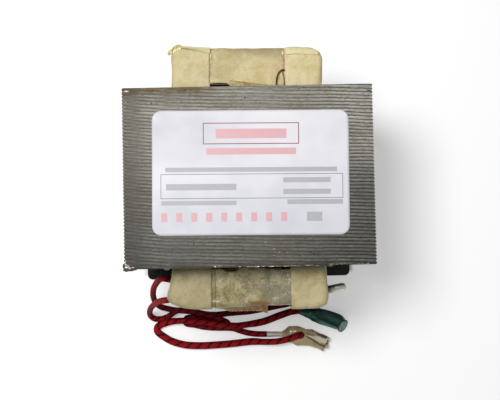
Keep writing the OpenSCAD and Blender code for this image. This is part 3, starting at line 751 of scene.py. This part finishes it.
LINK_LEAD = [
    (25.8, -77.2, 3), (23.6, -77.2, 4.4), (20.0, -78.5, 4.7), (14.2, -79.8, 4.1),
    (8, -80.3, 1.6), (0.5, -80.2, 0), (-8.9, -81, 0), (-17.5, -81.5, 0), (-25.5, -81.7, 0),
    (-33.3, -81.1, 0), (-39.8, -79.2, 0), (-44.4, -76.5, 0), (-47.1, -74.2, 0),
    (-47.3, -72, 0), (-45.8, -70.7, 0), (-43.6, -69.9, 0), (-41.5, -69.3, 0),
    (-39.1, -68.9, 0.6), (-36.8, -68.7, 1.6), (-35.4, -68.5, 2.4), (-34, -68.5, 3),
    (-31, -68.6, 3.2), (-28.5, -68.8, 3.2), (-25.5, -69.1, 3.2), (-23.2, -69.4, 3.2),
    (-20.8, -69.7, 3.2), (-18.7, -70.1, 3.3), (-16.3, -70.5, 3.6), (-14.2, -70.9, 3.7),
    (-11.8, -71.3, 3.5), (-9.3, -71.5, 3.1), (-6.6, -71.6, 2.9), (-4.1, -71.5, 2.2),
    (0, -71.2, 0.8), (3.6, -70.8, 0.1), (8.2, -69.8, 0), (15, -67.4, 0), (21.5, -65.4, 0.4),
    (27.5, -65.2, 0.65), (33, -67.4, 0.65)]


def weave(lay):
    """Height in mm of a braid's crossing strands at a point of the sleeve."""
    def height(u, v):
        right, left = 8 * (v + u / lay), 8 * (v - u / lay)
        over = (math.floor(right) + math.floor(left)) % 2
        part = (right if over else left) % 1.0
        return 0.05 * math.sin(math.pi * part) - 0.03
    return height


def soft(spread):
    """How wide and tall a limp sleeve lies: pressed flat where it rests."""
    def press(centre):
        rest = clamp(2.6 - centre.z)
        return 1 + spread * rest, 1 - 0.05 * rest
    return press


def lead(name, route, finish, lay, size, spread, replaced):
    """A braided lead that lies along its route; the lift is its underside's height."""
    line = smooth_route([(x, y, lift + size / 2) for x, y, lift in route], 0.25)
    obj = piece(tube(line, size / 2, 32, shape=weave(lay), press=soft(spread)),
                name, finish, [replaced], 180)
    length = sum((b - a).length for a, b in zip(line, line[1:]))
    return obj, [p * MM for p in line[:-3:5] + [line[-1]]], round(length) * MM


front_lead, front_path, front_length = lead("front_braided_lead", LEAD_FRONT, BRAID, 9.0, 2.9,
                                            0.03, "lead_front")
side_lead, side_path, side_length = lead("side_braided_lead", LEAD_SIDE, BRAID, 9.0, 2.9,
                                         0.03, "lead_side")
link_lead, link_path, link_length = lead("linking_braided_lead", LINK_LEAD, LINK_BRAID, 10.4,
                                         3.2, 0.14, "link_lead")


# Sleeves
def sleeve(name, points, widths, heights, finish, replaced, crease, slant, rim, hole=None):
    """A soft sleeve: an oval along a line, flattened by widths and heights at even
    shares of its length. Its far end is cut on the slant, and a hole is (x, y,
    radius) in its upper side."""
    frames = carried_frames(smooth_route(points, 0.4))
    bm = bmesh.new()
    rings = swept(bm, frames, 56, 1.0)

    def at(values, share):
        place = share * (len(values) - 1)
        low = min(int(place), len(values) - 2)
        t = place - low
        t = t * t * (3 - 2 * t)
        return values[low] * (1 - t) + values[low + 1] * t

    for i, (here, ring) in enumerate(zip(frames, rings)):
        share = i / (len(frames) - 1)
        width, height = at(widths, share) / 2, at(heights, share) / 2
        back = slant * max(0.0, (share - 0.7) / 0.3)
        inverse = here.inverted()
        for v in ring:
            flat = inverse @ v.co
            out = 1 + crease(share, math.atan2(flat.x, flat.y))
            up, side = flat.x * height * out, flat.y * width * out
            v.co = here @ Vector((up, side, -back * (up + height)))
    if hole:
        middles = {face: face.calc_center_median() for face in bm.faces}
        gone = [face for face, middle in middles.items()
                if middle.z > 2.5 and math.dist(middle[:2], hole[:2]) < hole[2]]
        bmesh.ops.delete(bm, geom=gone, context="FACES")
    edge = [v.co.copy() for v in rings[-1]]
    obj = piece(bm, name, finish[:2], replaced, 60)
    thicken(obj, 0.4, -1, 1)
    return obj, piece(tube(edge, rim, 8, closed=True), name + "_rim", finish[2], (), 180)


def folds(seed, depth):
    """Lengthwise creases that wander and fade along a sleeve."""
    def crease(share, angle):
        wander = noise.noise(Vector((share * 3.2, math.cos(angle) * 1.3, seed)))
        ridge = 1 - abs(math.sin(1.5 * angle + 1.8 * math.sin(3 * share + seed) + 1.6 * wander))
        return depth * (1.3 * ridge - 0.4 + 0.8 * wander)
    return crease


green_sleeve, green_rim = sleeve(
    "green_sleeve", [(25.8, -65.3, 2.2), (29.5, -65.9, 2.4), (34.2, -67.2, 2.6),
                     (40.2, -69.4, 2.6), (44.7, -71.3, 2.5), (49.0, -74.4, 2.4)],
    [3.6, 5.8, 7.5, 8.2, 8.2, 7.9, 6.4], [3.8, 4.2, 4.8, 4.8, 4.4, 4.4, 4.4], GREEN,
    ["sleeve_green"], folds(2.0, 0.07), 0.95, 0.32)
clear_sleeve, clear_rim = sleeve(
    "clear_sleeve", [(16.4, -76.6, 2.2), (20.5, -77.0, 2.7), (25, -77.5, 2.9),
                     (30, -79.0, 2.5), (35, -80.9, 2.3), (38.5, -82.7, 2.2)],
    [3.2, 8.2, 9.4, 8.8, 8.0, 7.8, 7.9], [3.2, 4.6, 5.0, 4.6, 4.2, 4.0, 3.8], CLEAR,
    ["sleeve_clear"], folds(5.0, 0.14), 0.1, 0.18, (25.8, -77.1, 1.9))


# Windings
def racetrack(out, z, shift=0.0, corner_steps=6):
    """A closed line round the centre leg, out mm outside the windings' inner face;
    shift moves its straight runs further out."""
    radius, line = WIND_CORNER + out, []
    half_x, half_y = (inner + out + shift - radius for inner in (WIND_X, WIND_Y))
    for k, (sx, sy) in enumerate([(1, 1), (-1, 1), (-1, -1), (1, -1)]):
        centre = Vector((sx * half_x, sy * half_y, z))
        for i in range(corner_steps + 1):
            a = math.radians(90 * (k + i / corner_steps))
            line.append(centre + radius * Vector((math.cos(a), math.sin(a), 0)))
    made = []
    for a, b in zip(line, line[1:] + line[:1]):
        made += [a, a.lerp(b, 0.5)] if (b - a).length > 8 else [a]
    return made


def primary_winding():
    """Turns of thick enamelled wire: the outer layer, and the top and bottom rows."""
    turns = []
    layers = int((WIND_OUT_X - WIND_X) / WIRE_D)
    rows = int(PRIMARY_H / WIRE_D)
    for layer in range(layers):
        out = WIND_OUT_X - (layers - layer - 0.5) * WIRE_D - WIND_X
        for row in range(rows):
            if layer < layers - 1 and row not in (0, rows - 1):
                continue
            shift = 0.12 * noise.noise(Vector((layer * 3.1, row * 1.7, 0)))
            turn = racetrack(out, PRIMARY_Z + (row + 0.5) * PRIMARY_H / rows, shift)
            turns.append(tube(turn, WIRE_D / 2 * 0.98, 10, True))
    piece(merge(turns), "primary_turns", ENAMEL, ["primary_coil"], 60)


def short_turns():
    """Three turns of the braided wire side by side on the shunts."""
    turns = [even(racetrack((k + 0.5) * LEAD_D, SHORT_Z + LEAD_D / 2, 0.0, 12), 0.9)
             for k in range(3)]
    turns = [tube(turn[:-1], LEAD_D / 2 * 0.98, 16, True) for turn in turns]
    piece(merge(turns), "short_winding_turns", BRAID, ["short_winding"], 180)


def fine_winding_block():
    """The secondary winding: a ring round the leg, a little slack at its ends."""
    bm = bmesh.new()
    bmesh.ops.create_circle(bm, segments=68, radius=1.0)
    # how far out each ring lies, as a share of the winding, and its height
    levels = [(1, SECONDARY_Z + 0.6), (1, 58), (1, 64), (1, 70.2), (0.96, 70.8), (0.5, 70.9),
              (0, 70.7), (0, 64), (0, 58), (0, SECONDARY_Z + 0.2), (0.5, SECONDARY_Z),
              (0.96, SECONDARY_Z)]
    edges, rings = list(bm.edges), [list(bm.verts)]
    while len(rings) < len(levels):
        ring, edges = extruded(bm, edges)
        rings.append(ring)
    for (share, z), ring in zip(levels, rings):
        half_x = WIND_X + (WIND_OUT_X - WIND_X) * share
        radius = WIND_CORNER + 14.0 * share
        for v in ring:
            way = math.atan2(v.co.y, v.co.x)
            x, y = math.cos(way), math.sin(way)
            end = SECONDARY_BACK if v.co.y > 0 else SECONDARY_FRONT
            half_y = WIND_Y + (end - WIND_Y) * share
            v.co = Vector((math.copysign(half_x - radius, x) + radius * x,
                           math.copysign(half_y - radius, y) + radius * y, z))
    bmesh.ops.bridge_loops(bm, edges=[e for e in bm.edges if e.is_boundary])
    piece(bm, "fine_winding_block", fine_winding(), ["secondary_coil"], 40)


def primary_tab(side, word):
    """A tab through the board, chamfered at its end."""
    def place(u, v):
        half = 3.15 - 1.2 * max(0.0, (v - 0.88) / 0.12)
        return side * 11 + (2 * u - 1) * half, 56.2 + 8.5 * v, 29.3
    sheet(word + "_primary_tab", (8, 25), place, TIN, ["primary_tab_" + word], 0.8)


primary_winding()
short_turns()
fine_winding_block()
for side, word in SIDES:
    primary_tab(side, word)

# Papers
PAPER_TOP = 71.45                       # height of the papers' tops in the window
SHOULDER = 2.2                          # radius of a paper's fold over the winding
WALL_ROWS = 9
LEG_X, LEG_Y = 18.3, 38.3               # half sizes of the window that papers keep clear


def through(points):
    """A function from 0..1 to a point on a smooth curve through the given points."""
    line = smooth_route([(x, y, 0) for x, y in points], 0.4) if len(points) > 2 else \
        [Vector((*point, 0)) for point in points]

    def at(share):
        place = share * (len(line) - 1)
        low = min(int(place), len(line) - 2)
        return line[low].lerp(line[low + 1], place - low)
    return at


def wrap(name, curves, size, top, rims, finish, replaced, rough, seed):
    """A sheet of paper over a winding's end. Its top is a grid between four edge
    curves: inner, outer, front and back; the edges named in rims are extruded
    outwards over a round shoulder and down the winding's side. top(x, y) gives the
    top's height."""
    edge = dict(zip(("inner", "outer", "front", "back"), map(through, curves)))
    rim = {key: {} for key in edge}
    bm = bmesh.new()
    bmesh.ops.create_grid(bm, x_segments=size[0], y_segments=size[1], size=0.5)
    for v in bm.verts:
        u, w = v.co.x + 0.5, v.co.y + 0.5
        sides = (1 - u) * edge["inner"](w) + u * edge["outer"](w)
        ends = (1 - w) * edge["front"](u) + w * edge["back"](u)
        corners = ((1 - u) * (1 - w) * edge["front"](0) + u * (1 - w) * edge["front"](1)
                   + (1 - u) * w * edge["back"](0) + u * w * edge["back"](1))
        for key, near, place in (("inner", u, w), ("outer", 1 - u, w),
                                 ("front", w, u), ("back", 1 - w, u)):
            if near < 1e-4:
                rim[key][round(place * 1000)] = v
        v.co = sides + ends - corners
    chain = []
    for key in rims:
        run = [v for _, v in sorted(rim[key].items(), reverse=key == "back")]
        chain += run[1:] if chain and chain[-1] is run[0] else run
    spots = [v.co.copy() for v in chain]
    outwards = []
    for i, spot in enumerate(spots):
        along = (spots[min(i + 1, len(spots) - 1)] - spots[max(i - 1, 0)]).normalized()
        away = Vector((along.y, -along.x, 0))
        outwards.append(away if away.dot(spot) > 0 else -away)
    for v in bm.verts:
        v.co.z = top(v.co.x, v.co.y)
    edges = [e for e in bm.edges if all(v in chain for v in e.verts) and e.is_boundary]
    ring = chain
    heights = [v.co.z for v in chain]
    turns = [math.radians(a) for a in (18, 36, 54, 72, 90)]
    for k in range(len(turns) + WALL_ROWS):
        fresh, edges = extruded(bm, edges)
        ring = [min(fresh, key=lambda v: (v.co - old.co).length_squared) for old in ring]
        for v, spot, away, height in zip(ring, spots, outwards, heights):
            if k < len(turns):
                reach = SHOULDER * math.sin(turns[k])
                z = height - SHOULDER * (1 - math.cos(turns[k]))
            else:
                share = (k - len(turns) + 1) / WALL_ROWS
                reach = SHOULDER - 0.5 * share
                z = (height - SHOULDER) * (1 - share) + (SECONDARY_Z + 0.1) * share
            v.co = spot + away * reach
            v.co.z = z
    bm.normal_update()
    for v in bm.verts:
        lump, small = (noise.noise(Vector((v.co.x * k, v.co.y * k, v.co.z * k + seed)))
                       for k in (0.16, 0.6))
        free = clamp((abs(v.co.y) - 37.8) / 2)
        v.co += v.normal * (rough * 2.0 * lump + rough * 0.7 * small) * free
        if abs(v.co.y) < LEG_Y and abs(v.co.x) < LEG_X:
            v.co.x = math.copysign(LEG_X, v.co.x)
    obj = piece(bm, name, finish, [replaced], 180)
    thicken(obj, 0.4, -1)
    return obj


def cushion(x, y):
    """Height of a side paper's top: flat in the window, a soft cushion outside."""
    return PAPER_TOP + 0.75 * math.sin(math.pi / 2 * clamp((abs(y) - 38.2) / 6))


def wavy(x, y):
    """Height of the front paper's top."""
    wave = noise.noise(Vector((x * 0.12, y * 0.2, 4.0)))
    return PAPER_TOP + 0.4 * wave * min(1, (abs(y) - 38.2) / 3)


def arched(x, y):
    """Height of the back paper's top, which arches up at the left of the leg."""
    out = clamp((y - 38.2) / 5)
    arch = math.exp(-((x + 12) / 3.5) ** 2) * math.exp(-((y - 42) / 2.5) ** 2)
    return 71.35 + 0.25 * math.sin(math.pi / 2 * out) + 0.55 * arch


# Papers down both sides, over the windings' ends in front and behind
SIDE_CURVES = {
    "left": ([(-16.9, -54.1), (-15.8, 54.5)],
             [(-32.8, -52.0), (-34.0, -50.6), (-33.1, -47.4), (-32.2, -43.5), (-31.4, -37),
              (-30.9, -20), (-30.9, 20), (-30.5, 37), (-30.3, 45.6), (-30.4, 52.4),
              (-30.2, 54.7)],
             [(-16.9, -54.1), (-24.9, -54.0), (-30.0, -53.1), (-32.8, -52.0)],
             [(-15.8, 54.5), (-20, 54.9), (-24, 55.3), (-28.4, 55.5), (-30.2, 54.7)]),
    "right": ([(17.4, -54.9), (16.8, 54.6)],
              [(31.0, -53.7), (31.4, -51.4), (31.1, -46), (30.9, -38.8), (30.9, -20),
               (30.9, 20), (30.9, 40), (31.1, 46.6), (31.2, 51.2), (30.7, 53.3)],
              [(17.4, -54.7), (23.2, -54.7), (28.4, -54.5), (31.0, -53.7)],
              [(16.8, 54.6), (21, 54.7), (27.8, 54.6), (30.7, 53.3)])}
for side, word in SIDES:
    obj = wrap("side_paper_" + word, SIDE_CURVES[word], (20, 124), cushion,
               ("front", "outer", "back"), [UPPER_PAPER, SHADED_PAPER],
               "secondary_paper_" + word, 0.14, 3.0 * side)
    # the front halves take the darker copy: painted shade
    for face in obj.data.polygons:
        face.material_index = 1 if face.center.y < 0 else 0


def end_paper(word, inner, outer, top, finish, rough, seed):
    """Paper over the middle of the winding's end, under the side papers' edges."""
    wrap(word + "_end_paper", (inner, outer, [inner[0], outer[0]], [inner[-1], outer[-1]]),
         (20, 60), top, ("outer",), finish, "secondary_end_paper_" + word, rough, seed)


end_paper("front", [(-18.6, -38.6), (-12.5, -38.9), (-11, -39.9), (-6, -40.0), (-4.5, -38.4),
                    (4, -38.4), (12, -39.6), (18.8, -39.4)],
          [(-18.6, -53.7), (-6, -53.5), (0, -53.1), (12, -53.1), (18.8, -53.5)],
          wavy, rough_paper(), 0.2, 9.0)
end_paper("back", [(-18.6, 41.2), (-12, 41.5), (-8.4, 41.3), (-6.4, 40.4), (4, 40.2),
                   (18.8, 40.2)],
          [(-18.6, 55.2), (-6, 54.9), (6, 54.8), (18.8, 54.7)], arched, back_paper(), 0.12, 14.0)

# Strip of varnished film that hangs out under the front paper, torn along its edge
torn = through([(-15.7, -56.2), (-11.8, -56.8), (-9.6, -57.5), (-7, -57.7), (-1.4, -57.6),
                (2.1, -57.7), (4.7, -58), (7.2, -58.9)])


def film_strip(u, v):
    low = torn(u)
    ragged = 0.45 * noise.noise(Vector((low.x * 1.7, 0, 3))) + 0.2 * math.sin(low.x * 5)
    ragged += 0.5 * noise.noise(Vector((low.x * 4.3, 2, 1)))
    y = -54.6 * (1 - v) + (low.y + ragged * (0.3 + 0.7 * u)) * v
    return low.x, y, 69.7 - 2.4 * v + 0.3 * noise.noise(Vector((low.x * 0.5, y, 0)))


sheet("front_film_strip", (110, 8), film_strip, AMBER, ["film_front"])
sheet("back_film_strip", (24, 8),
      lambda u, v: (-7.3 + 16.3 * u, 39.4 * (1 - v) + (42.7 - 2.3 * u) * v,
                    71.95 + 0.12 * noise.noise(Vector((u * 4, v * 2, 1)))),
      BACK_AMBER, ["film_back"], 0.12)


def rounded(a, b):
    """A point of the square from -1 to 1, drawn in to a round."""
    return a * math.sqrt(1 - b * b / 2), b * math.sqrt(1 - a * a / 2)


def ear(name, x, y, turn, rx, ry, curl):
    """A curled ear of soaked paper film at the paper's corner."""
    def place(u, v):
        a, b = rounded(2 * u - 1, 2 * v - 1)
        spot = Matrix.Rotation(math.radians(turn), 2) @ Vector((a * rx, b * ry))
        return x + spot.x, y + spot.y, 71.7 + curl * b * b + 0.15 * a
    sheet(name, (14, 14), place, SOAKED, (), 0.2)


ear("large_ear", -29.8, 56.5, 25, 2.7, 2.0, 0.6)
ear("small_ear", -32.9, 55.4, -35, 0.9, 1.5, 0.5)
sheet("folded_flap", (24, 6),
      lambda u, v: (-28.4 + 13 * u, (57.8 - 0.8 * u) * (1 - v) + (57.2 - 2.8 * u ** 1.2) * v,
                    72.5 + 0.25 * math.sin(3 * v + 2 * u)),
      TURNED_PAPER, (), 0.3)
sheet("turned_edge", (24, 8),
      lambda u, v: (17.3 + (14.4 - 3.0 * v ** 3) * u,
                    53.3 + 0.25 * math.sin(5 * u) + (3.3 - 0.5 * u ** 6) * v,
                    72.45 - 1.7 * max(0.0, v - 0.4) ** 1.5),
      TURNED_PAPER, (), 0.22)

# Fine wire of the winding: a bow over the back paper, and a strip of copper beside it
piece(tube(smooth_route([(13, 38.4, 75.1), (12.8, 40.4, 73.4), (13.3, 43.6, 72.7),
                         (14.2, 45.6, 72.6), (15.5, 46.7, 72.6), (16.7, 46.6, 72.5)], 0.25),
           0.28, 10), "wire_bow", WIRE, ["ground_wire"], 180)
piece(tube(smooth_route([(15.4, 46.6, 72.9), (15.9, 44.6, 72.8), (16.2, 42.6, 72.8),
                         (16.3, 40.5, 73), (16, 38.4, 74.4)], 0.25), 0.2, 8),
      "wire_tail", WIRE, (), 180)
sheet("copper_strip", (3, 14),
      lambda u, v: (15.6 + 1.4 * u, 46.2 + 6.4 * v, 72 + 0.15 * math.sin(3 * v)), COPPER,
      (), 0.1)
blobs("varnish_beads", [(-15.2, 53.6, 71.7, 0.6, 1.4, 0.2), (-15.3, 50.7, 71.7, 0.5, 0.8, 0.2),
                        (16.1, 54.2, 71.7, 0.5, 1.4, 0.2)], SOAKED)

# Label
LABEL_W, LABEL_D, LABEL_R, LABEL_TURN = 81.5, 51.7, 4.0, -0.75
PRINT_LIFT = 0.062


def on_label(x, y, lift=0.0):
    """A point given from the label's middle, on its faintly wavy face."""
    spot = Matrix.Rotation(math.radians(LABEL_TURN), 2) @ Vector((x, y))
    wave = 0.02 * noise.noise(Vector((x * 0.03, y * 0.25, 2)))
    return Vector((spot.x + 0.8, spot.y + 1.4, CORE_TOP + 0.055 + wave + lift))


def label_sheet(u, v):
    x, y = (u - 0.5) * LABEL_W, (v - 0.5) * LABEL_D
    a = (abs(x) - LABEL_W / 2) / LABEL_R + 1
    b = (abs(y) - LABEL_D / 2) / LABEL_R + 1
    if a > 0 and b > 0:
        a, b = rounded(a, b)
        x = math.copysign(LABEL_W / 2 - LABEL_R + a * LABEL_R, x)
        y = math.copysign(LABEL_D / 2 - LABEL_R + b * LABEL_R, y)
    return on_label(x, y)


def bars(name, colour, spans):
    """Plain bars of print; a span is left, right, low and high on the label."""
    parts = []
    for left, right, low, high in spans:
        bm = bmesh.new()
        bmesh.ops.create_grid(bm, x_segments=max(1, round((right - left) / 2)), y_segments=2,
                              size=0.5)
        for v in bm.verts:
            v.co = on_label(left + (v.co.x + 0.5) * (right - left),
                            low + (v.co.y + 0.5) * (high - low), PRINT_LIFT)
        parts.append(bm)
    piece(merge(parts), name, colour, (), 60)


def outline(left, right, low, high, width):
    """The four bars of a frame."""
    return [(left, right, low, low + width), (left, right, high - width, high),
            (left, left + width, low, high), (right - width, right, low, high)]


sheet("label_sheet", (82, 52), label_sheet, label_stock(), ["label"], 0.1)
bars("red_frame", ink("red frame print", tone(150, 40, 58)),
     outline(-19.7, 20.1, 11.8, 20.7, 0.34))
bars("red_bars", ink("red print", tone(228, 178, 184)),
     [(-14.4, 14.9, 14.2, 18.2), (-18.3, 18.8, 7.5, 10.2)]
     + [(-37 + 6.17 * k, -34.5 + 6.17 * k, -20.2, -16.5) for k in range(9)])
bars("dark_frame", ink("black frame print", tone(104, 104, 110)),
     outline(-37.2, 38.1, -10.7, -0.5, 0.22))
bars("dark_bars", ink("dark print", tone(184, 184, 190)),
     [(-35.3, 35.7, 0.3, 2.2), (-35, -6, -7.2, -4.6), (13.4, 33, -4.2, -2.1),
      (13.4, 33, -9, -6.9), (-37, -6, -13.4, -11.6), (15, 38, -13.2, -11.2),
      (23, 29.4, -20.2, -16.4)])


# Small marks on the core
def marks(*spots):
    """Lumps on the core; a spot is X, Y, how deep it sinks and its three half sizes."""
    return [(x, y, CORE_TOP - sink, *sizes) for x, y, sink, *sizes in spots]


def strewn(count, xs, ys, sink, lengths, widths, height):
    """Lumps strewn over a field, each with its own place, length and width."""
    return marks(*[(rng.uniform(*xs), rng.uniform(*ys), sink, rng.uniform(*lengths),
                    rng.uniform(*widths), height) for _ in range(count)])


flakes = strewn(46, (-2, 28), (-37.55, -37.25), 0.04, (0.15, 0.7), (0.06, 0.14), 0.08)
flakes += strewn(16, (31, 49), (-37.4, -36.8), 0.04, (0.12, 0.4), (0.07, 0.14), 0.08)
flakes += marks(
    (-4.4, -37.3, 0.04, 0.4, 0.2, 0.1), (-50, 36.0, 0.0, 1.1, 0.35, 0.13),
    (-50.4, 31.5, 0.04, 0.3, 0.3, 0.1), (-51.5, -34.6, 0.04, 0.25, 0.8, 0.1),
    (-51.2, -35.6, 0.04, 0.5, 0.5, 0.12), (-50.9, -36.6, 0.04, 0.8, 0.5, 0.16),
    (-49.7, -36.9, 0.04, 0.9, 0.4, 0.12), (-48.3, -36.7, 0.04, 0.7, 0.25, 0.1),
    (-50.2, -36.0, 0.04, 0.5, 0.25, 0.08), (-10.3, -30.7, 0.06, 0.4, 0.12, 0.05),
    (-9.6, -31.1, 0.06, 0.35, 0.12, 0.05), (-8.1, -31.8, 0.06, 0.2, 0.25, 0.05),
    (-14.6, -37.0, 0.04, 0.4, 0.3, 0.08))
flakes += strewn(14, (-15.6, -10.6), (-37.4, -36.6), 0.04, (0.1, 0.3), (0.08, 0.2), 0.06)
flakes += strewn(9, (5.6, 7.9), (-28.3, -26.4), 0.07, (0.08, 0.35), (0.05, 0.14), 0.04)
flakes += strewn(24, (9, 16.4), (-33.2, -30.2), 0.07, (0.08, 0.35), (0.05, 0.14), 0.04)
blobs("varnish_flakes", flakes, dried_varnish(), (), 0.5)

burnt = marks(*[(x, y, 0.05, reach, rng.uniform(0.18, 0.3), 0.07) for x, y, reach in (
    (23.6, 36.5, 0.7), (50.6, 34.5, 0.9), (51.3, 34.1, 0.5), (50.3, 32.4, 0.6),
    (50.9, 20.8, 0.6), (50.2, 19.4, 0.6), (-23.3, 36.3, 0.5), (-25.9, 36.1, 0.4),
    (-43.4, 34.3, 0.35), (-21.2, 33.9, 0.4), (51.4, 27.0, 0.5), (40.6, 31.2, 0.35),
    (32.5, 34.2, 0.5))])
burnt += strewn(60, (-51, 51), (30, 36.6), 0.07, (0.12, 0.4), (0.08, 0.16), 0.05)
burnt += strewn(12, (-15.6, -10.6), (-37.3, -36.4), 0.04, (0.1, 0.3), (0.08, 0.16), 0.05)
burnt += marks((-51.3, -37.7, 1.0, 1.3, 0.7, 0.9), (-49.6, -37.8, 0.9, 1.4, 0.5, 0.8),
               (-52.2, -36.2, 1.2, 0.5, 1.0, 0.9), (-47.8, -37.6, 0.7, 1.0, 0.3, 0.6))
blobs("burnt_specks", burnt, scorched(), (), 0.5)

WELD = weld_metal()


def bead(name, x, z, reach, size, replaced):
    """A weld: overlapping ripples laid one after another along the joint."""
    wide, long_, tall = size
    count = round(2 * reach / (long_ * 0.8))
    spots = []
    for k in range(count + 1):
        y = -reach + 2 * reach * k / count
        wobble = noise.noise(Vector((y * 0.4, x, 0)))
        spots.append((x, y * (1 - long_ / reach), z + 0.15 * wobble,
                      wide * (1 - 0.1 * abs(wobble)), long_, tall * (0.93 + 0.07 * wobble)))
    blobs(name, spots, WELD, [replaced], 0.08)


for side, word in SIDES:
    bead("seam_bead_" + word, side * (CORE_W / 2 + 0.05), JOINT_Z, 36, (1.1, 1.5, 2.4),
         "seam_weld_" + word)
    bead("base_bead_" + word, side * (CORE_W / 2 + 0.15), 1.7, 29, (0.92, 1.4, 1.5),
         "base_weld_" + word)

# CAD pieces
for finish, names in (
        (CORE_LOWER, ["core_e"]), (CORE_UPPER, ["core_i"]), (black_varnish(), ["base_plate"]),
        (shunt_steel(), ["shunt_left", "shunt_right"]), (tab_blade(), ["hv_tab"]),
        (BOARD, ["primary_former", "secondary_former", "tab_board"]),
        (UPPER_PAPER, ["primary_paper_left", "primary_paper_right", "primary_end_paper_back"]),
        (SHADED_PAPER, ["primary_end_paper_front"]),
        (TIN, ["ground_lug", "terminal_green", "terminal_clear", "terminal_link"])):
    for name in names:
        held = nodes[name].data.materials
        held.clear()
        held.append(finish)

# Floor and light
SHADE_X, SHADE_Y = CORE_W / 2, 44.0         # half sizes of the floor in the core's shade
LAMP_PLACE, LAMP_AIM = Vector((-0.168, 0.114, 0.60)), Vector((0, 0, 0.05))

floor_mesh = bpy.data.meshes.new("floor")
bm = bmesh.new()
bmesh.ops.create_grid(bm, x_segments=1, y_segments=1, size=3.0)
bmesh.ops.translate(bm, verts=bm.verts, vec=(0, 0, -0.0002))
bm.to_mesh(floor_mesh)
bm.free()
floor = placed("floor", floor_mesh)
backdrop = Finish("studio backdrop", (0.86, 0.86, 0.86), 0.9, 0.0, 0.1)
floor_mesh.materials.append(backdrop.material)
backdrop.put("Emission Color", (1, 1, 1))
camera_ray, glossy_ray, clear_ray = (backdrop.add("LightPath", output="Is %s Ray" % kind)
                                     for kind in ("Camera", "Glossy", "Transmission"))
seen = backdrop.calc("ADD", camera_ray + glossy_ray, clear_ray, clamp=True)
x, y, _ = backdrop.axes()
# painted shadow: the floor's glow is dimmed under the core, where little light gets in
away = backdrop.calc("MAXIMUM", abs(x) - SHADE_X, abs(y) - SHADE_Y)
backdrop.put("Emission Strength", seen * backdrop.band(away, 0.0, 2.5, 0.05, 0.36))

world = bpy.data.worlds.new("studio")
bpy.context.scene.world = world
world.use_nodes = True
world.node_tree.nodes["Background"].inputs["Color"].default_value = (1, 1, 1, 1)
world.node_tree.nodes["Background"].inputs["Strength"].default_value = 0.25

lamp = placed("key", bpy.data.lights.new("key", "AREA"))
lamp.data.shape = "DISK"
lamp.data.size = 0.22
lamp.data.energy = 2.52
lamp.location = LAMP_PLACE
lamp.rotation_euler = (LAMP_AIM - LAMP_PLACE).to_track_quat("-Z", "Y").to_euler()

bpy.context.scene.view_settings.view_transform = "Standard"
